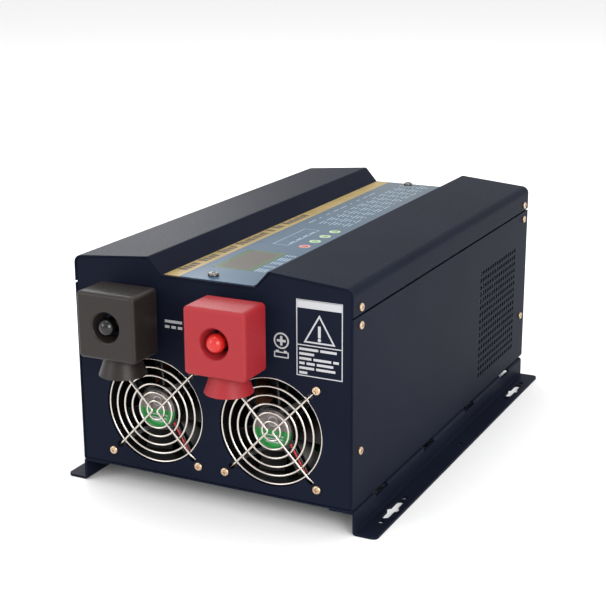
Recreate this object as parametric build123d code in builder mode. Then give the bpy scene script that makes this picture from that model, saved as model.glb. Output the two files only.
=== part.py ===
from build123d import *
from math import cos, radians
import os

os.makedirs("parts", exist_ok=True)

# Power inverter and battery charger in a folded steel case, on two mounting rails.
# Frame: +Z up with Z = 0 under the mounting flanges, X = 0 on the middle of the case,
# Y = 0 half way along the overall length, the battery (DC) end towards -Y.

# ---- case, millimetres ----
body_width = 218.0
body_length = 373.0
case_sheet = 1.2
tray_underside = 17.2
seam_height = 153.6
seam_gap = 1.5
shoulder_height = 173.0
ridge_height = 178.5
ridge_edge_x = 47.0
valley_edge_x = 36.3
valley_height = 166.5
shoulder_radius = 6.0
sheet_bend = 2.0
panel_gap = 0.4
panel_recess = 0.5
panel_flange_depth = 16.0
panel_side_flange_foot = 26.0
panel_top_flange_inset = 5.0

# ---- what stands out of each end, which with the body makes the overall length ----
boot_reach = 36.5
cap_ball_proud = 3.0
ac_cover_reach = 29.5

# ---- mounting rails, reaches and insets counted from the side of the case ----
rail_sheet = 2.0
rail_overhang = 1.3
rail_seat_width = 18.0
flange_reach = 17.0
rail_front_setback = 1.5
rail_rear_setback = 5.5
flange_hole_reach = 9.4
flange_hole_radius = 2.6
flange_corner_radius = 4.0
small_hole_offsets = (0.0, 114.3, -114.3, 157.7, -157.7)
keyslot_offset = 135.8
keyslot_length = 32.5
keyslot_width = 5.3
keyslot_eye_radius = 4.8
bend_slot_offsets = (-136.8, -45.6, 45.6, 136.8)
bend_slot_length = 22.0
bend_slot_width = 9.0
bend_slot_height = 5.4
rivet_offsets = (-170.0, -91.2, 0.0, 91.2, 170.0)
rivet_inset = 10.0
rivet_radius = 1.6
rivet_dome_radius = 3.0
rivet_dome_height = 1.1
rivet_bulb_radius = 2.4
rivet_bulb_height = 2.0
rivet_clearance = 0.1

# ---- side perforation, the same on both walls ----
vent_from_front = 296.2
vent_center_z = 79.5
vent_pitch = 5.8
vent_count = 16
vent_hole_radius = 1.95

# ---- case screws, measured from the front edge of the body ----
screw_radius = 1.45
screw_hole_radius = 1.7
screw_head_radius = 2.9
screw_head_height = 1.5
thread_clearance = 0.1
case_screw_length = 7.0
case_screw_inset = 11.5
case_screw_heights = (158.9, 146.6, 58.4)
cover_screw_x = -2.0
cover_screw_front = 12.5
cover_screw_rear = 7.5
cover_screw_radius = 1.85
cover_screw_head_radius = 3.8
cover_screw_head_height = 2.4
cover_screw_length = 8.0

# ---- control panel on the valley ----
label_sheet = 0.4
label_side_gap = 1.3
label_end_gap = 1.8
window_length = 55.5
window_width = 31.7
window_from_front = 61.8
screen_length = 47.0
screen_width = 24.0
screen_surround = 4.5
screen_step = 0.5
window_gap = 0.1
lcd_body_depth = 4.5
indicator_x = 17.0
indicator_first = 115.0
indicator_pitch = 17.6
indicator_radius = 2.2
indicator_clearance = 0.25
indicator_dome_height = 0.7
display_board_sheet = 1.6
display_board_from_front = 102.0
display_board_length = 158.0
display_board_width = 58.0
display_post_inset = (4.0, 6.0)
display_post_radius = 2.5

# ---- battery terminals, places on the DC panel ----
negative_x = -59.5
positive_x = 25.2
stud_z = 135.3
stud_radius = 4.0
stud_clearance = 0.05
stud_hex_wall = 3.4
stud_washer_wall = 4.0
stud_washer_height = 1.6
stud_head_height = 5.0
stud_nut_height = 6.5
stud_chamfer = 0.6
insulator_radius = 15.0
insulator_front = 7.6
insulator_back = 6.0
insulator_back_radius = 13.0
insulator_neck_wall = 3.0
insulator_neck_clearance = 0.3
busbar_sheet = 3.0
busbar_width = 18.0
busbar_foot = 17.0
busbar_top_reach = 11.0
busbar_shelf_share = 0.4
busbar_drop_behind_fan = 15.0
boot_width = 46.5
boot_height = 47.5
boot_rear = 8.0
boot_wall = 3.0
boot_edge_radius = 3.2
boot_hole_radius = 11.0
boot_well_depth = 11.0
boot_well_wall = 2.5
boot_well_clearance = 1.0
sleeve_height = 15.5
sleeve_top_radius = 11.5
sleeve_foot_radius = 17.0
sleeve_from_boot_rear = 9.6
cap_ball_radius = 6.5
cap_wall = 1.8
cap_bore_depth = 12.0
cap_gap = 0.3

# ---- cooling fans, the standard 80 mm size ----
fan_size = 80.0
fan_depth = 25.0
fan_rim = 2.0
fan_tube_wall = 1.8
fan_flange = 4.0
fan_corner_radius = 5.0
fan_hole_inset = 4.25
fan_hole_radius = 2.15
fan_post_radius = 3.9
fan_spacing = 13.0
fan_floor_gap = 6.4
fan_cutout_margin = 0.2
ear_slot_width = 4.4
ear_slot_end_inset = 4.56
fan_screw_radius = 1.9
fan_screw_clearance = 0.15
fan_screw_head_radius = 3.1
fan_screw_head_height = 1.8
fan_screw_length = 9.0
guard_wire = 1.6
guard_gap = 0.2
guard_ring_count = 6
guard_inner_radius = 7.0
guard_edge_margin = 1.2
guard_eye_radius = 3.0
guard_spoke_sink = 0.15
hub_radius = 15.5
hub_recess = 1.6
hub_plate = 3.0
hub_label_margin = 1.2
hub_label_sheet = 0.25
strut_width = 3.0
strut_sink = 1.0
strut_side_offset = 3.6
strut_angle = -60.0
strut_turn = -36.0
axle_boss_radius = 3.0
axle_bore_radius = 1.6
axle_radius = 1.25
rotor_gap = 0.8
rotor_cup_wall = 1.5
blade_count = 7
blade_chord = 19.0
blade_tip_gap = 0.8
lead_radius = 0.75
lead_notch_width = 5.2

# ---- AC end, places as X and Z on the panel ----
terminal_cover_x = -21.0
terminal_cover_z = 58.0
terminal_cover_height = 60.0
terminal_cover_side_room = 14.0
terminal_cover_flange = 12.0
terminal_cover_sheet = 1.0
terminal_cover_gap = 0.2
cover_hole_inset = 8.0
terminal_block_drop = 8.0
terminal_block_height = 26.0
terminal_block_depth = 15.0
terminal_block_end = 7.0
terminal_pole_count = 7
terminal_pole_pitch = 16.0
terminal_pole_depth = 8.5
terminal_wall = 3.0
clamp_screw_pitch = 12.0
clamp_screw_radius = 1.8
wire_slot_rise = 18.0
wire_slot_height = 9.0
grommet_offsets = (-36.0, 36.0)
grommet_bore_radius = 7.0
grommet_groove_wall = 2.3
grommet_rim_wall = 4.5
grommet_height = 6.2
grommet_clearance = 0.2
breaker_places = (("input", -84.0), ("output", -50.0))
breaker_z = 134.0
breaker_hole_radius = 6.0
breaker_body = (17.0, 32.0)
breaker_depth = 34.0
breaker_travel = 5.0
button_radius = 3.2
button_clearance = 0.35
switch_x = 74.0
switch_z = 134.0
switch_cutout = (27.4, 21.6)
selector_x = 34.0
selector_z = 134.0
selector_neck_radius = 4.4
selector_body_width = 18.0
selector_body_depth = 10.0
socket_x = -4.0
socket_z = 134.0
socket_cutout = (13.4, 11.4)
socket_depth = 15.0
snap_clearance = 0.2
exhaust_x = 84.0
exhaust_slot_length = 36.0
exhaust_slot_width = 4.0
exhaust_slot_count = 9
exhaust_slot_pitch = 8.0
exhaust_rise = 6.0

# ---- inside ----
board_sheet = 2.0
power_board_z = 34.0
power_board_from_front = 46.0
power_board_length = 132.0
power_board_side_gap = 14.0
power_post_inset = (7.0, 8.0)
control_board_z = 118.0
control_board_from_front = 198.0
control_board_length = 124.0
control_board_side_gap = 10.0
control_post_inset = (5.0, 6.0)
post_radius = 3.0
transformer_from_front = 272.0
transformer_radius = 72.0
transformer_bore = 22.0
transformer_height = 68.0
pad_thickness = 3.0
pad_inset = 8.0
winding_wall = 9.0
clamp_plate_radius = 46.0
clamp_plate_sheet = 2.0
bolt_radius = 4.0
bolt_clearance = 0.3
bolt_hex_wall = 3.4
bolt_head_height = 5.0
bolt_nut_height = 6.5
bolt_end = 12.0

# ---- worked out from the values above ----
terminal_reach = boot_reach + cap_ball_proud
overall_length = terminal_reach + body_length + ac_cover_reach
front_y = -overall_length / 2 + terminal_reach
rear_y = front_y + body_length
half_width = body_width / 2
tray_top = seam_height - seam_gap / 2
skirt_foot = seam_height + seam_gap / 2
tray_floor = tray_underside + case_sheet
rail_outer_x = half_width + rail_overhang
rail_inner_x = half_width - rail_seat_width
rail_length = body_length - rail_front_setback - rail_rear_setback
rail_center_y = front_y + rail_front_setback + rail_length / 2
flange_edge_x = half_width + flange_reach
flange_hole_x = half_width + flange_hole_reach
rivet_x = half_width - rivet_inset
valley_underside = valley_height - case_sheet
panel_edge_x = half_width - case_sheet - panel_gap
insulator_neck_radius = stud_radius + insulator_neck_wall
fan_center_x = (fan_size + fan_spacing) / 2
fan_center_z = tray_floor + fan_floor_gap + fan_size / 2
fan_hole_pitch = fan_size - 2 * fan_hole_inset
fan_hole_diagonal = fan_hole_pitch / 2 ** 0.5
fan_bore_radius = fan_size / 2 - fan_rim
ear_slot_reach = fan_hole_diagonal - ear_slot_end_inset
pole_width = terminal_pole_pitch * terminal_pole_count
terminal_cover_width = pole_width + 2 * terminal_cover_side_room
cover_screw_offset = (terminal_cover_width + terminal_cover_flange) / 2
power_board_width = 2 * (half_width - power_board_side_gap)
control_board_width = 2 * (half_width - control_board_side_gap)
seated = (Align.CENTER, Align.CENTER, Align.MIN)
hanging = (Align.CENTER, Align.CENTER, Align.MAX)


def end_plane(x, z, outward, depth=0.0):
    """Plane on an end panel's outer face, its normal pointing out of the case and its y up."""
    face_y = front_y + panel_recess if outward < 0 else rear_y - panel_recess
    return Plane(origin=(x, face_y - outward * depth, z), x_dir=(-outward, 0, 0), z_dir=(0, outward, 0))


def section(y):
    """Plane across the case at a given Y; a negative extrusion from it runs towards +Y."""
    return Plane(origin=(0, y, 0), x_dir=(1, 0, 0), z_dir=(0, -1, 0))


def side_plane(side):
    """Plane on a side wall's outer face, side -1 left or +1 right, its x along side * Y."""
    return Plane(origin=(side * half_width, 0, 0), x_dir=(0, side, 0), z_dir=(side, 0, 0))


def corner_places(width, length, inset, middle_y):
    """Places of four posts, inset from the corners of a board centred on X = 0 and middle_y."""
    reach_x = width / 2 - inset[0]
    reach_y = length / 2 - inset[1]
    return [(x, middle_y + y) for x in (-reach_x, reach_x) for y in (-reach_y, reach_y)]


def pan_screw(head_radius, head_height, shank_radius, shank_length):
    """Pan-head screw with a cross recess, its head seated on z = 0 and its shank below."""
    with BuildPart() as screw:
        Cylinder(head_radius, head_height, align=seated)
        fillet(screw.edges().filter_by(GeomType.CIRCLE).group_by(Axis.Z)[-1], head_height * 0.6)
        Cylinder(shank_radius, shank_length, align=hanging)
        with Locations((0, 0, head_height)):
            Box(head_radius * 1.1, head_radius * 0.28, head_height * 1.2, mode=Mode.SUBTRACT)
            Box(head_radius * 0.28, head_radius * 1.1, head_height * 1.2, mode=Mode.SUBTRACT)
    return screw.part


# ---------------------------------------------------------------- lower tray
# One sheet: the floor and both side walls, with a perforated field near the AC end.
case_screw_y = (front_y + case_screw_inset, rear_y - case_screw_inset)
transformer_y = front_y + transformer_from_front
power_board_y = front_y + power_board_from_front + power_board_length / 2
control_board_y = front_y + control_board_from_front + control_board_length / 2
rivet_places = [(side * rivet_x, rail_center_y + y) for side in (-1, 1) for y in rivet_offsets]

with BuildPart() as lower_tray:
    with BuildSketch(section(front_y)):
        with BuildLine():
            FilletPolyline(
                (-half_width, tray_top),
                (-half_width, tray_underside),
                (half_width, tray_underside),
                (half_width, tray_top),
                radius=sheet_bend,
            )
            offset(amount=case_sheet, side=Side.LEFT)
        make_face()
    extrude(amount=-body_length)
    with BuildSketch(Plane.YZ):
        with Locations((front_y + vent_from_front, vent_center_z)):
            with GridLocations(vent_pitch, vent_pitch, vent_count, vent_count):
                Circle(vent_hole_radius)
        with Locations(*[(y, z) for y in case_screw_y for z in case_screw_heights[1:]]):
            Circle(screw_hole_radius)
    extrude(amount=body_width, both=True, mode=Mode.SUBTRACT)
    with BuildSketch(Plane.XY.offset(tray_floor)):
        with Locations(*rivet_places):
            Circle(rivet_radius + rivet_clearance)
        with Locations((0, transformer_y)):
            Circle(bolt_radius + bolt_clearance)
    extrude(amount=-2 * case_sheet, mode=Mode.SUBTRACT)
lower_tray.part.label = "lower_tray"
export_step(lower_tray.part, "parts/lower_tray.step")

# ---------------------------------------------------------------- mounting rails
# Folded Z sections under the tray: keyhole slots, a pilot hole each side of each slot and
# one in the middle, and four short slots in the upper bend.
with BuildPart() as right_mounting_rail:
    with BuildSketch(section(rail_center_y - rail_length / 2)):
        with BuildLine():
            FilletPolyline(
                (rail_inner_x, tray_underside),
                (rail_outer_x, tray_underside),
                (rail_outer_x, rail_sheet),
                (flange_edge_x, rail_sheet),
                radius=[sheet_bend + 0.5, 0.5],
            )
            offset(amount=rail_sheet, side=Side.RIGHT)
        make_face()
    extrude(amount=-rail_length)
    flange_corners = right_mounting_rail.edges().filter_by(Axis.Z).group_by(Axis.X)[-1]
    fillet(flange_corners, flange_corner_radius)
    with BuildSketch(Plane.XY):
        with Locations(*[(flange_hole_x, rail_center_y + y) for y in small_hole_offsets]):
            Circle(flange_hole_radius)
        with Locations(*[(flange_hole_x, rail_center_y + side * keyslot_offset) for side in (-1, 1)]):
            SlotOverall(keyslot_length, keyslot_width, rotation=90)
            Circle(keyslot_eye_radius)
    extrude(amount=rail_sheet, mode=Mode.SUBTRACT)
    with Locations(*[(rail_outer_x, rail_center_y + y, tray_underside) for y in bend_slot_offsets]):
        Box(bend_slot_width, bend_slot_length, bend_slot_height, mode=Mode.SUBTRACT)
    with Locations(*[(rivet_x, rail_center_y + y, tray_underside) for y in rivet_offsets]):
        Cylinder(rivet_radius + rivet_clearance, 4 * rail_sheet, mode=Mode.SUBTRACT)
right_mounting_rail.part.label = "right_mounting_rail"
export_step(right_mounting_rail.part, "parts/right_mounting_rail.step")

with BuildPart() as left_mounting_rail:
    mirror(right_mounting_rail.part, about=Plane.YZ)
left_mounting_rail.part.label = "left_mounting_rail"
export_step(left_mounting_rail.part, "parts/left_mounting_rail.step")

# Blind rivets: a dome under the rail, the shank, and the set bulb on the tray floor.
with BuildPart() as rail_rivets:
    with Locations(*[(x, y, tray_underside - rail_sheet) for x, y in rivet_places]):
        Cylinder(rivet_radius, rail_sheet + case_sheet, align=seated)
        Cone(rivet_dome_radius * 0.7, rivet_dome_radius, rivet_dome_height, align=hanging)
    with Locations(*[(x, y, tray_floor) for x, y in rivet_places]):
        Cone(rivet_bulb_radius, rivet_bulb_radius * 0.7, rivet_bulb_height, align=seated)
rail_rivets.part.label = "rail_rivets"
export_step(rail_rivets.part, "parts/rail_rivets.step")

# ---------------------------------------------------------------- top cover
# One sheet: skirts, two ridges that slope outwards, slanted inner walls and the valley.
window_y = front_y + window_from_front
indicator_places = [(indicator_x, front_y + indicator_first + i * indicator_pitch) for i in range(4)]
cover_screw_places = [
    (cover_screw_x, front_y + cover_screw_front),
    (cover_screw_x, rear_y - cover_screw_rear),
]

with BuildPart() as top_cover:
    with BuildSketch(section(front_y)):
        with BuildLine():
            FilletPolyline(
                (-half_width, skirt_foot),
                (-half_width, shoulder_height),
                (-ridge_edge_x, ridge_height),
                (-valley_edge_x, valley_height),
                (valley_edge_x, valley_height),
                (ridge_edge_x, ridge_height),
                (half_width, shoulder_height),
                (half_width, skirt_foot),
                radius=[shoulder_radius, sheet_bend, 1.0, 1.0, sheet_bend, shoulder_radius],
            )
            offset(amount=case_sheet, side=Side.RIGHT)
        make_face()
    extrude(amount=-body_length)
    with BuildSketch(Plane.YZ):
        with Locations(*[(y, case_screw_heights[0]) for y in case_screw_y]):
            Circle(screw_hole_radius)
    extrude(amount=body_width, both=True, mode=Mode.SUBTRACT)
    with BuildSketch(Plane.XY.offset(valley_height)):
        with Locations((0, window_y)):
            Rectangle(screen_width + 4 * screen_step, screen_length + 4 * screen_step)
        with Locations(*indicator_places):
            Circle(indicator_radius + indicator_clearance)
        with Locations(*cover_screw_places):
            Circle(cover_screw_radius + indicator_clearance)
    extrude(amount=-2 * case_sheet, mode=Mode.SUBTRACT)
top_cover.part.label = "top_cover"
export_step(top_cover.part, "parts/top_cover.step")


# ---------------------------------------------------------------- end panels
def end_pan(outward):
    """Blank end panel: a face that fills the case section, with flanges bent into the case."""
    face = end_plane(0, 0, outward)
    with BuildPart() as pan:
        with BuildSketch(face):
            with BuildLine():
                FilletPolyline(
                    (-half_width, tray_underside),
                    (half_width, tray_underside),
                    (half_width, shoulder_height),
                    (ridge_edge_x, ridge_height),
                    (valley_edge_x, valley_height),
                    (-valley_edge_x, valley_height),
                    (-ridge_edge_x, ridge_height),
                    (-half_width, shoulder_height),
                    close=True,
                    radius=[
                        sheet_bend, sheet_bend, shoulder_radius, sheet_bend,
                        1.0, 1.0, sheet_bend, shoulder_radius,
                    ],
                )
            make_face()
            offset(amount=-(case_sheet + panel_gap))
        extrude(amount=-case_sheet)
        flange_foot = tray_floor + panel_gap
        flange_top = shoulder_height - shoulder_radius
        with BuildSketch(face):
            for side in (-1, 1):
                middle_z = (flange_top + panel_side_flange_foot) / 2
                with Locations((side * (panel_edge_x - case_sheet / 2), middle_z)):
                    Rectangle(case_sheet, flange_top - panel_side_flange_foot)
            with Locations((0, valley_underside - panel_gap - case_sheet / 2)):
                Rectangle(2 * (valley_edge_x - panel_top_flange_inset), case_sheet)
            with Locations((0, flange_foot + case_sheet / 2)):
                Rectangle(2 * rail_inner_x, case_sheet)
        extrude(amount=-panel_flange_depth)
        with BuildSketch(Plane.YZ):
            with Locations(*[(y, z) for y in case_screw_y for z in case_screw_heights]):
                Circle(screw_radius + thread_clearance)
        extrude(amount=body_width, both=True, mode=Mode.SUBTRACT)
        with BuildSketch(Plane.XY.offset(valley_underside)):
            with Locations(*cover_screw_places):
                Circle(cover_screw_radius + thread_clearance)
        extrude(amount=-3 * case_sheet, mode=Mode.SUBTRACT)
    return pan.part


fan_sides = (("left", -fan_center_x), ("right", fan_center_x))

with BuildPart() as dc_end_panel:
    add(end_pan(-1))
    with BuildSketch(end_plane(0, 0, -1)):
        with Locations(*[(x, fan_center_z) for _, x in fan_sides]):
            Circle(fan_size / 2 - fan_cutout_margin)
            with PolarLocations(0, 4, start_angle=45):
                with Locations((ear_slot_reach / 2, 0)):
                    SlotOverall(ear_slot_reach, ear_slot_width)
            with GridLocations(fan_hole_pitch, fan_hole_pitch, 2, 2):
                Circle(fan_screw_radius + fan_screw_clearance)
        with Locations((negative_x, stud_z), (positive_x, stud_z)):
            Circle(insulator_neck_radius + insulator_neck_clearance)
    extrude(amount=-2 * case_sheet, mode=Mode.SUBTRACT)
dc_end_panel.part.label = "dc_end_panel"
export_step(dc_end_panel.part, "parts/dc_end_panel.step")

with BuildPart() as ac_end_panel:
    add(end_pan(1))
    with BuildSketch(end_plane(0, 0, 1)):
        with Locations(*[(-x, breaker_z) for _, x in breaker_places]):
            Circle(breaker_hole_radius + snap_clearance)
        with Locations((-switch_x, switch_z)):
            Rectangle(*switch_cutout)
        with Locations((-socket_x, socket_z)):
            Rectangle(*socket_cutout)
        with Locations((-selector_x, selector_z)):
            Circle(selector_neck_radius + snap_clearance)
        with Locations((-terminal_cover_x, terminal_cover_z + wire_slot_rise)):
            SlotOverall(pole_width - 8, wire_slot_height)
        with Locations((-exhaust_x, terminal_cover_z + exhaust_rise)):
            with GridLocations(0, exhaust_slot_pitch, 1, exhaust_slot_count):
                SlotOverall(exhaust_slot_length, exhaust_slot_width)
        with Locations((-terminal_cover_x, terminal_cover_z)):
            with GridLocations(2 * cover_screw_offset, terminal_cover_height - 2 * cover_hole_inset, 2, 2):
                Circle(screw_radius + thread_clearance)
        with Locations((-terminal_cover_x, terminal_cover_z - terminal_block_drop)):
            with GridLocations(pole_width + terminal_block_end - 1, 0, 2, 1):
                Circle(screw_radius + thread_clearance)
    extrude(amount=-2 * case_sheet, mode=Mode.SUBTRACT)
ac_end_panel.part.label = "ac_end_panel"
export_step(ac_end_panel.part, "parts/ac_end_panel.step")

# ---------------------------------------------------------------- case and cover screws
with BuildPart() as case_screws:
    screw = pan_screw(screw_head_radius, screw_head_height, screw_radius, case_screw_length)
    for side in (-1, 1):
        with Locations(side_plane(side)):
            with Locations(*[(side * y, z) for y in case_screw_y for z in case_screw_heights]):
                add(screw)
case_screws.part.label = "case_screws"
export_step(case_screws.part, "parts/case_screws.step")

with BuildPart() as cover_screws:
    screw = pan_screw(
        cover_screw_head_radius, cover_screw_head_height, cover_screw_radius, cover_screw_length
    )
    with Locations(*[(x, y, valley_height + label_sheet) for x, y in cover_screw_places]):
        add(screw)
cover_screws.part.label = "cover_screws"
export_step(cover_screws.part, "parts/cover_screws.step")

# ---------------------------------------------------------------- control panel
# A thin overlay stuck along the valley, with the window pane and the lamps let into it.
with BuildPart() as control_label:
    with BuildSketch(Plane.XY.offset(valley_height)):
        with Locations((0, (front_y + rear_y) / 2)):
            Rectangle(2 * (valley_edge_x - label_side_gap), body_length - 2 * label_end_gap)
        with Locations((0, window_y)):
            Rectangle(window_width, window_length, mode=Mode.SUBTRACT)
        with Locations(*indicator_places):
            Circle(indicator_radius + indicator_clearance, mode=Mode.SUBTRACT)
        with Locations(*cover_screw_places):
            Circle(cover_screw_radius + indicator_clearance, mode=Mode.SUBTRACT)
    extrude(amount=label_sheet)
control_label.part.label = "control_label"
export_step(control_label.part, "parts/control_label.step")

with BuildPart() as lcd_window:
    with Locations((0, window_y, valley_height)):
        Box(window_width - 2 * window_gap, window_length - 2 * window_gap, label_sheet, align=seated)
lcd_window.part.label = "lcd_window"
export_step(lcd_window.part, "parts/lcd_window.step")

display_board_top = valley_underside - window_gap - lcd_body_depth
display_board_y = front_y + display_board_from_front

with BuildPart() as lcd_module:
    with Locations((0, window_y, display_board_top)):
        Box(
            screen_width + 2 * screen_surround, screen_length + 2 * screen_surround,
            lcd_body_depth, align=seated,
        )
        Box(
            screen_width + 2 * screen_step, screen_length + 2 * screen_step,
            lcd_body_depth + case_sheet, align=seated,
        )
lcd_module.part.label = "lcd_module"
export_step(lcd_module.part, "parts/lcd_module.step")


def indicator(place):
    """Round lamp: a flange on the display board, a barrel and a low dome above the overlay."""
    x, y = place
    barrel_top = valley_height + label_sheet
    with BuildPart() as lamp:
        with Locations((x, y, display_board_top)):
            Cylinder(indicator_radius + 0.6, 1.0, align=seated)
            Cylinder(indicator_radius, barrel_top - display_board_top, align=seated)
        with Locations((x, y, barrel_top)):
            Cone(indicator_radius, indicator_radius * 0.6, indicator_dome_height, align=seated)
    return lamp.part


with BuildPart() as red_indicator:
    add(indicator(indicator_places[0]))
red_indicator.part.label = "red_indicator"
export_step(red_indicator.part, "parts/red_indicator.step")

with BuildPart() as green_indicators:
    for place in indicator_places[1:]:
        add(indicator(place))
green_indicators.part.label = "green_indicators"
export_step(green_indicators.part, "parts/green_indicators.step")

with BuildPart() as display_board:
    with Locations((0, display_board_y, display_board_top)):
        Box(display_board_width, display_board_length, display_board_sheet, align=hanging)
display_board.part.label = "display_board"
export_step(display_board.part, "parts/display_board.step")

# ---------------------------------------------------------------- battery terminals
# Each: a threaded stud held by an insulator through the panel, a washer and nut that clamp
# the cable's lug, a ball-ended insulated cap nut, and a soft boot pulled over them all.
stud_places = (("negative", negative_x), ("positive", positive_x))
stud_bore_radius = stud_radius + stud_clearance
stud_hex_radius = stud_radius + stud_hex_wall
nut_back = insulator_front + stud_washer_height + 2 * stud_clearance
cap_back = nut_back + stud_nut_height + cap_gap
ball_center = terminal_reach + panel_recess - cap_ball_radius

with BuildPart() as stud_insulators:
    for _, x in stud_places:
        front = end_plane(x, stud_z, -1)
        with BuildSketch(front):
            Circle(insulator_radius)
        extrude(amount=insulator_front)
        with BuildSketch(front.offset(-case_sheet - insulator_back)):
            Circle(insulator_back_radius)
        extrude(amount=insulator_back)
        with BuildSketch(front):
            Circle(insulator_neck_radius)
        extrude(amount=-case_sheet - insulator_back)
        with BuildSketch(front.offset(insulator_front)):
            Circle(stud_bore_radius)
        extrude(amount=-insulator_front - case_sheet - insulator_back, mode=Mode.SUBTRACT)
stud_insulators.part.label = "stud_insulators"
export_step(stud_insulators.part, "parts/stud_insulators.step")

bar_front = case_sheet + insulator_back
for name, x in stud_places:
    with BuildPart() as stud:
        bar_rear = end_plane(x, stud_z, -1, bar_front + busbar_sheet)
        with BuildSketch(bar_rear):
            RegularPolygon(stud_hex_radius, 6)
        extrude(amount=-stud_head_height)
        with BuildSketch(bar_rear):
            Circle(stud_radius)
        extrude(amount=bar_front + busbar_sheet + cap_back + cap_bore_depth - 3)
        chamfer(stud.edges().group_by(Axis.Y)[0], stud_chamfer)
    stud.part.label = f"{name}_stud"
    export_step(stud.part, f"parts/{name}_stud.step")

with BuildPart() as stud_nuts:
    for _, x in stud_places:
        front = end_plane(x, stud_z, -1)
        with BuildSketch(front.offset(insulator_front)):
            Circle(stud_radius + stud_washer_wall)
            Circle(stud_bore_radius, mode=Mode.SUBTRACT)
        extrude(amount=stud_washer_height)
        with BuildSketch(front.offset(nut_back)):
            RegularPolygon(stud_hex_radius, 6)
            Circle(stud_bore_radius, mode=Mode.SUBTRACT)
        extrude(amount=stud_nut_height)
stud_nuts.part.label = "stud_nuts"
export_step(stud_nuts.part, "parts/stud_nuts.step")

for name, x in stud_places:
    with BuildPart() as cap_nut:
        front = end_plane(x, stud_z, -1)
        with BuildSketch(front.offset(cap_back)):
            Circle(stud_radius + cap_wall)
        extrude(amount=ball_center - cap_back)
        with Locations(front.offset(ball_center)):
            Sphere(cap_ball_radius)
        with BuildSketch(front.offset(cap_back)):
            Circle(stud_bore_radius)
        extrude(amount=cap_bore_depth, mode=Mode.SUBTRACT)
    cap_nut.part.label = f"{name}_cap_nut"
    export_step(cap_nut.part, f"parts/{name}_cap_nut.step")

# Each boot has a square head with a dished well in front, whose narrow end clears the cap's
# ball, and a flared sleeve below for the cable.
boot_depth = boot_reach + panel_recess - boot_rear
sleeve_axis = boot_rear + sleeve_from_boot_rear
well_floor_radius = cap_ball_radius + boot_well_clearance

for name, x in stud_places:
    with BuildPart() as boot:
        back = end_plane(x, stud_z, -1).offset(boot_rear)
        with BuildSketch(back):
            RectangleRounded(boot_width, boot_height, boot_edge_radius)
        extrude(amount=boot_depth)
        front_rim = boot.faces().sort_by(Axis.Y)[0].edges()
        fillet(front_rim, boot_edge_radius - 0.4)
        sleeve_top = Plane(
            origin=(x, front_y + panel_recess - sleeve_axis, stud_z - boot_height / 2 + 1),
            x_dir=(1, 0, 0),
            z_dir=(0, 0, -1),
        )
        with BuildSketch(sleeve_top):
            Circle(sleeve_top_radius)
        with BuildSketch(sleeve_top.offset(sleeve_height)):
            Circle(sleeve_foot_radius)
        loft()
        with BuildSketch(back):
            RectangleRounded(boot_width - 2 * boot_wall, boot_height - 2 * boot_wall, 1.5)
        extrude(amount=boot_depth - boot_wall, mode=Mode.SUBTRACT)
        with BuildSketch(sleeve_top.offset(-boot_wall - 1)):
            Circle(sleeve_top_radius - boot_wall)
        with BuildSketch(sleeve_top.offset(sleeve_height)):
            Circle(sleeve_foot_radius - boot_wall + 0.6)
        loft(mode=Mode.SUBTRACT)
        with BuildSketch(back.offset(boot_depth - 1)):
            Circle(boot_hole_radius + boot_well_wall)
        with BuildSketch(back.offset(boot_depth - boot_well_depth)):
            Circle(well_floor_radius + boot_well_wall)
        loft()
        with BuildSketch(back.offset(boot_depth)):
            Circle(boot_hole_radius)
        with BuildSketch(back.offset(boot_depth - boot_well_depth)):
            Circle(well_floor_radius)
        loft(mode=Mode.SUBTRACT)
        well_edges = boot.edges().filter_by(lambda edge: edge.geom_type == GeomType.CIRCLE)
        wide_edges = well_edges.filter_by(lambda edge: edge.radius > boot_hole_radius - 0.1)
        fillet(wide_edges.sort_by(Axis.Y)[0], boot_well_wall * 0.8)
    boot.part.label = f"{name}_boot"
    export_step(boot.part, f"parts/{name}_boot.step")

# Copper bars from the studs, back over the fans and down to the power board.
power_board_top = power_board_z + board_sheet
fan_top_z = fan_center_z + fan_size / 2
room_under_stud = stud_z - stud_hex_radius - busbar_sheet - fan_top_z
bar_shelf_z = fan_top_z + busbar_shelf_share * room_under_stud
bar_drop = fan_depth + busbar_drop_behind_fan
bar_top_z = stud_z + busbar_top_reach
front_face_y = front_y + panel_recess
bar_y = front_face_y + bar_front

with BuildPart() as dc_busbars:
    for _, x in stud_places:
        with BuildSketch(Plane.YZ.offset(x)):
            with BuildLine():
                FilletPolyline(
                    (bar_y + busbar_sheet, bar_top_z),
                    (bar_y + busbar_sheet, bar_shelf_z + busbar_sheet),
                    (front_face_y + bar_drop, bar_shelf_z + busbar_sheet),
                    (front_face_y + bar_drop, power_board_top + busbar_sheet),
                    (front_face_y + bar_drop + busbar_foot, power_board_top + busbar_sheet),
                    radius=[1.0, busbar_sheet + 1, 1.0],
                )
                offset(amount=busbar_sheet, side=Side.RIGHT)
            make_face()
        extrude(amount=busbar_width / 2, both=True)
        with BuildSketch(end_plane(x, stud_z, -1, bar_front)):
            Circle(stud_bore_radius)
        extrude(amount=-busbar_sheet, mode=Mode.SUBTRACT)
dc_busbars.part.label = "dc_busbars"
export_step(dc_busbars.part, "parts/dc_busbars.step")

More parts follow.
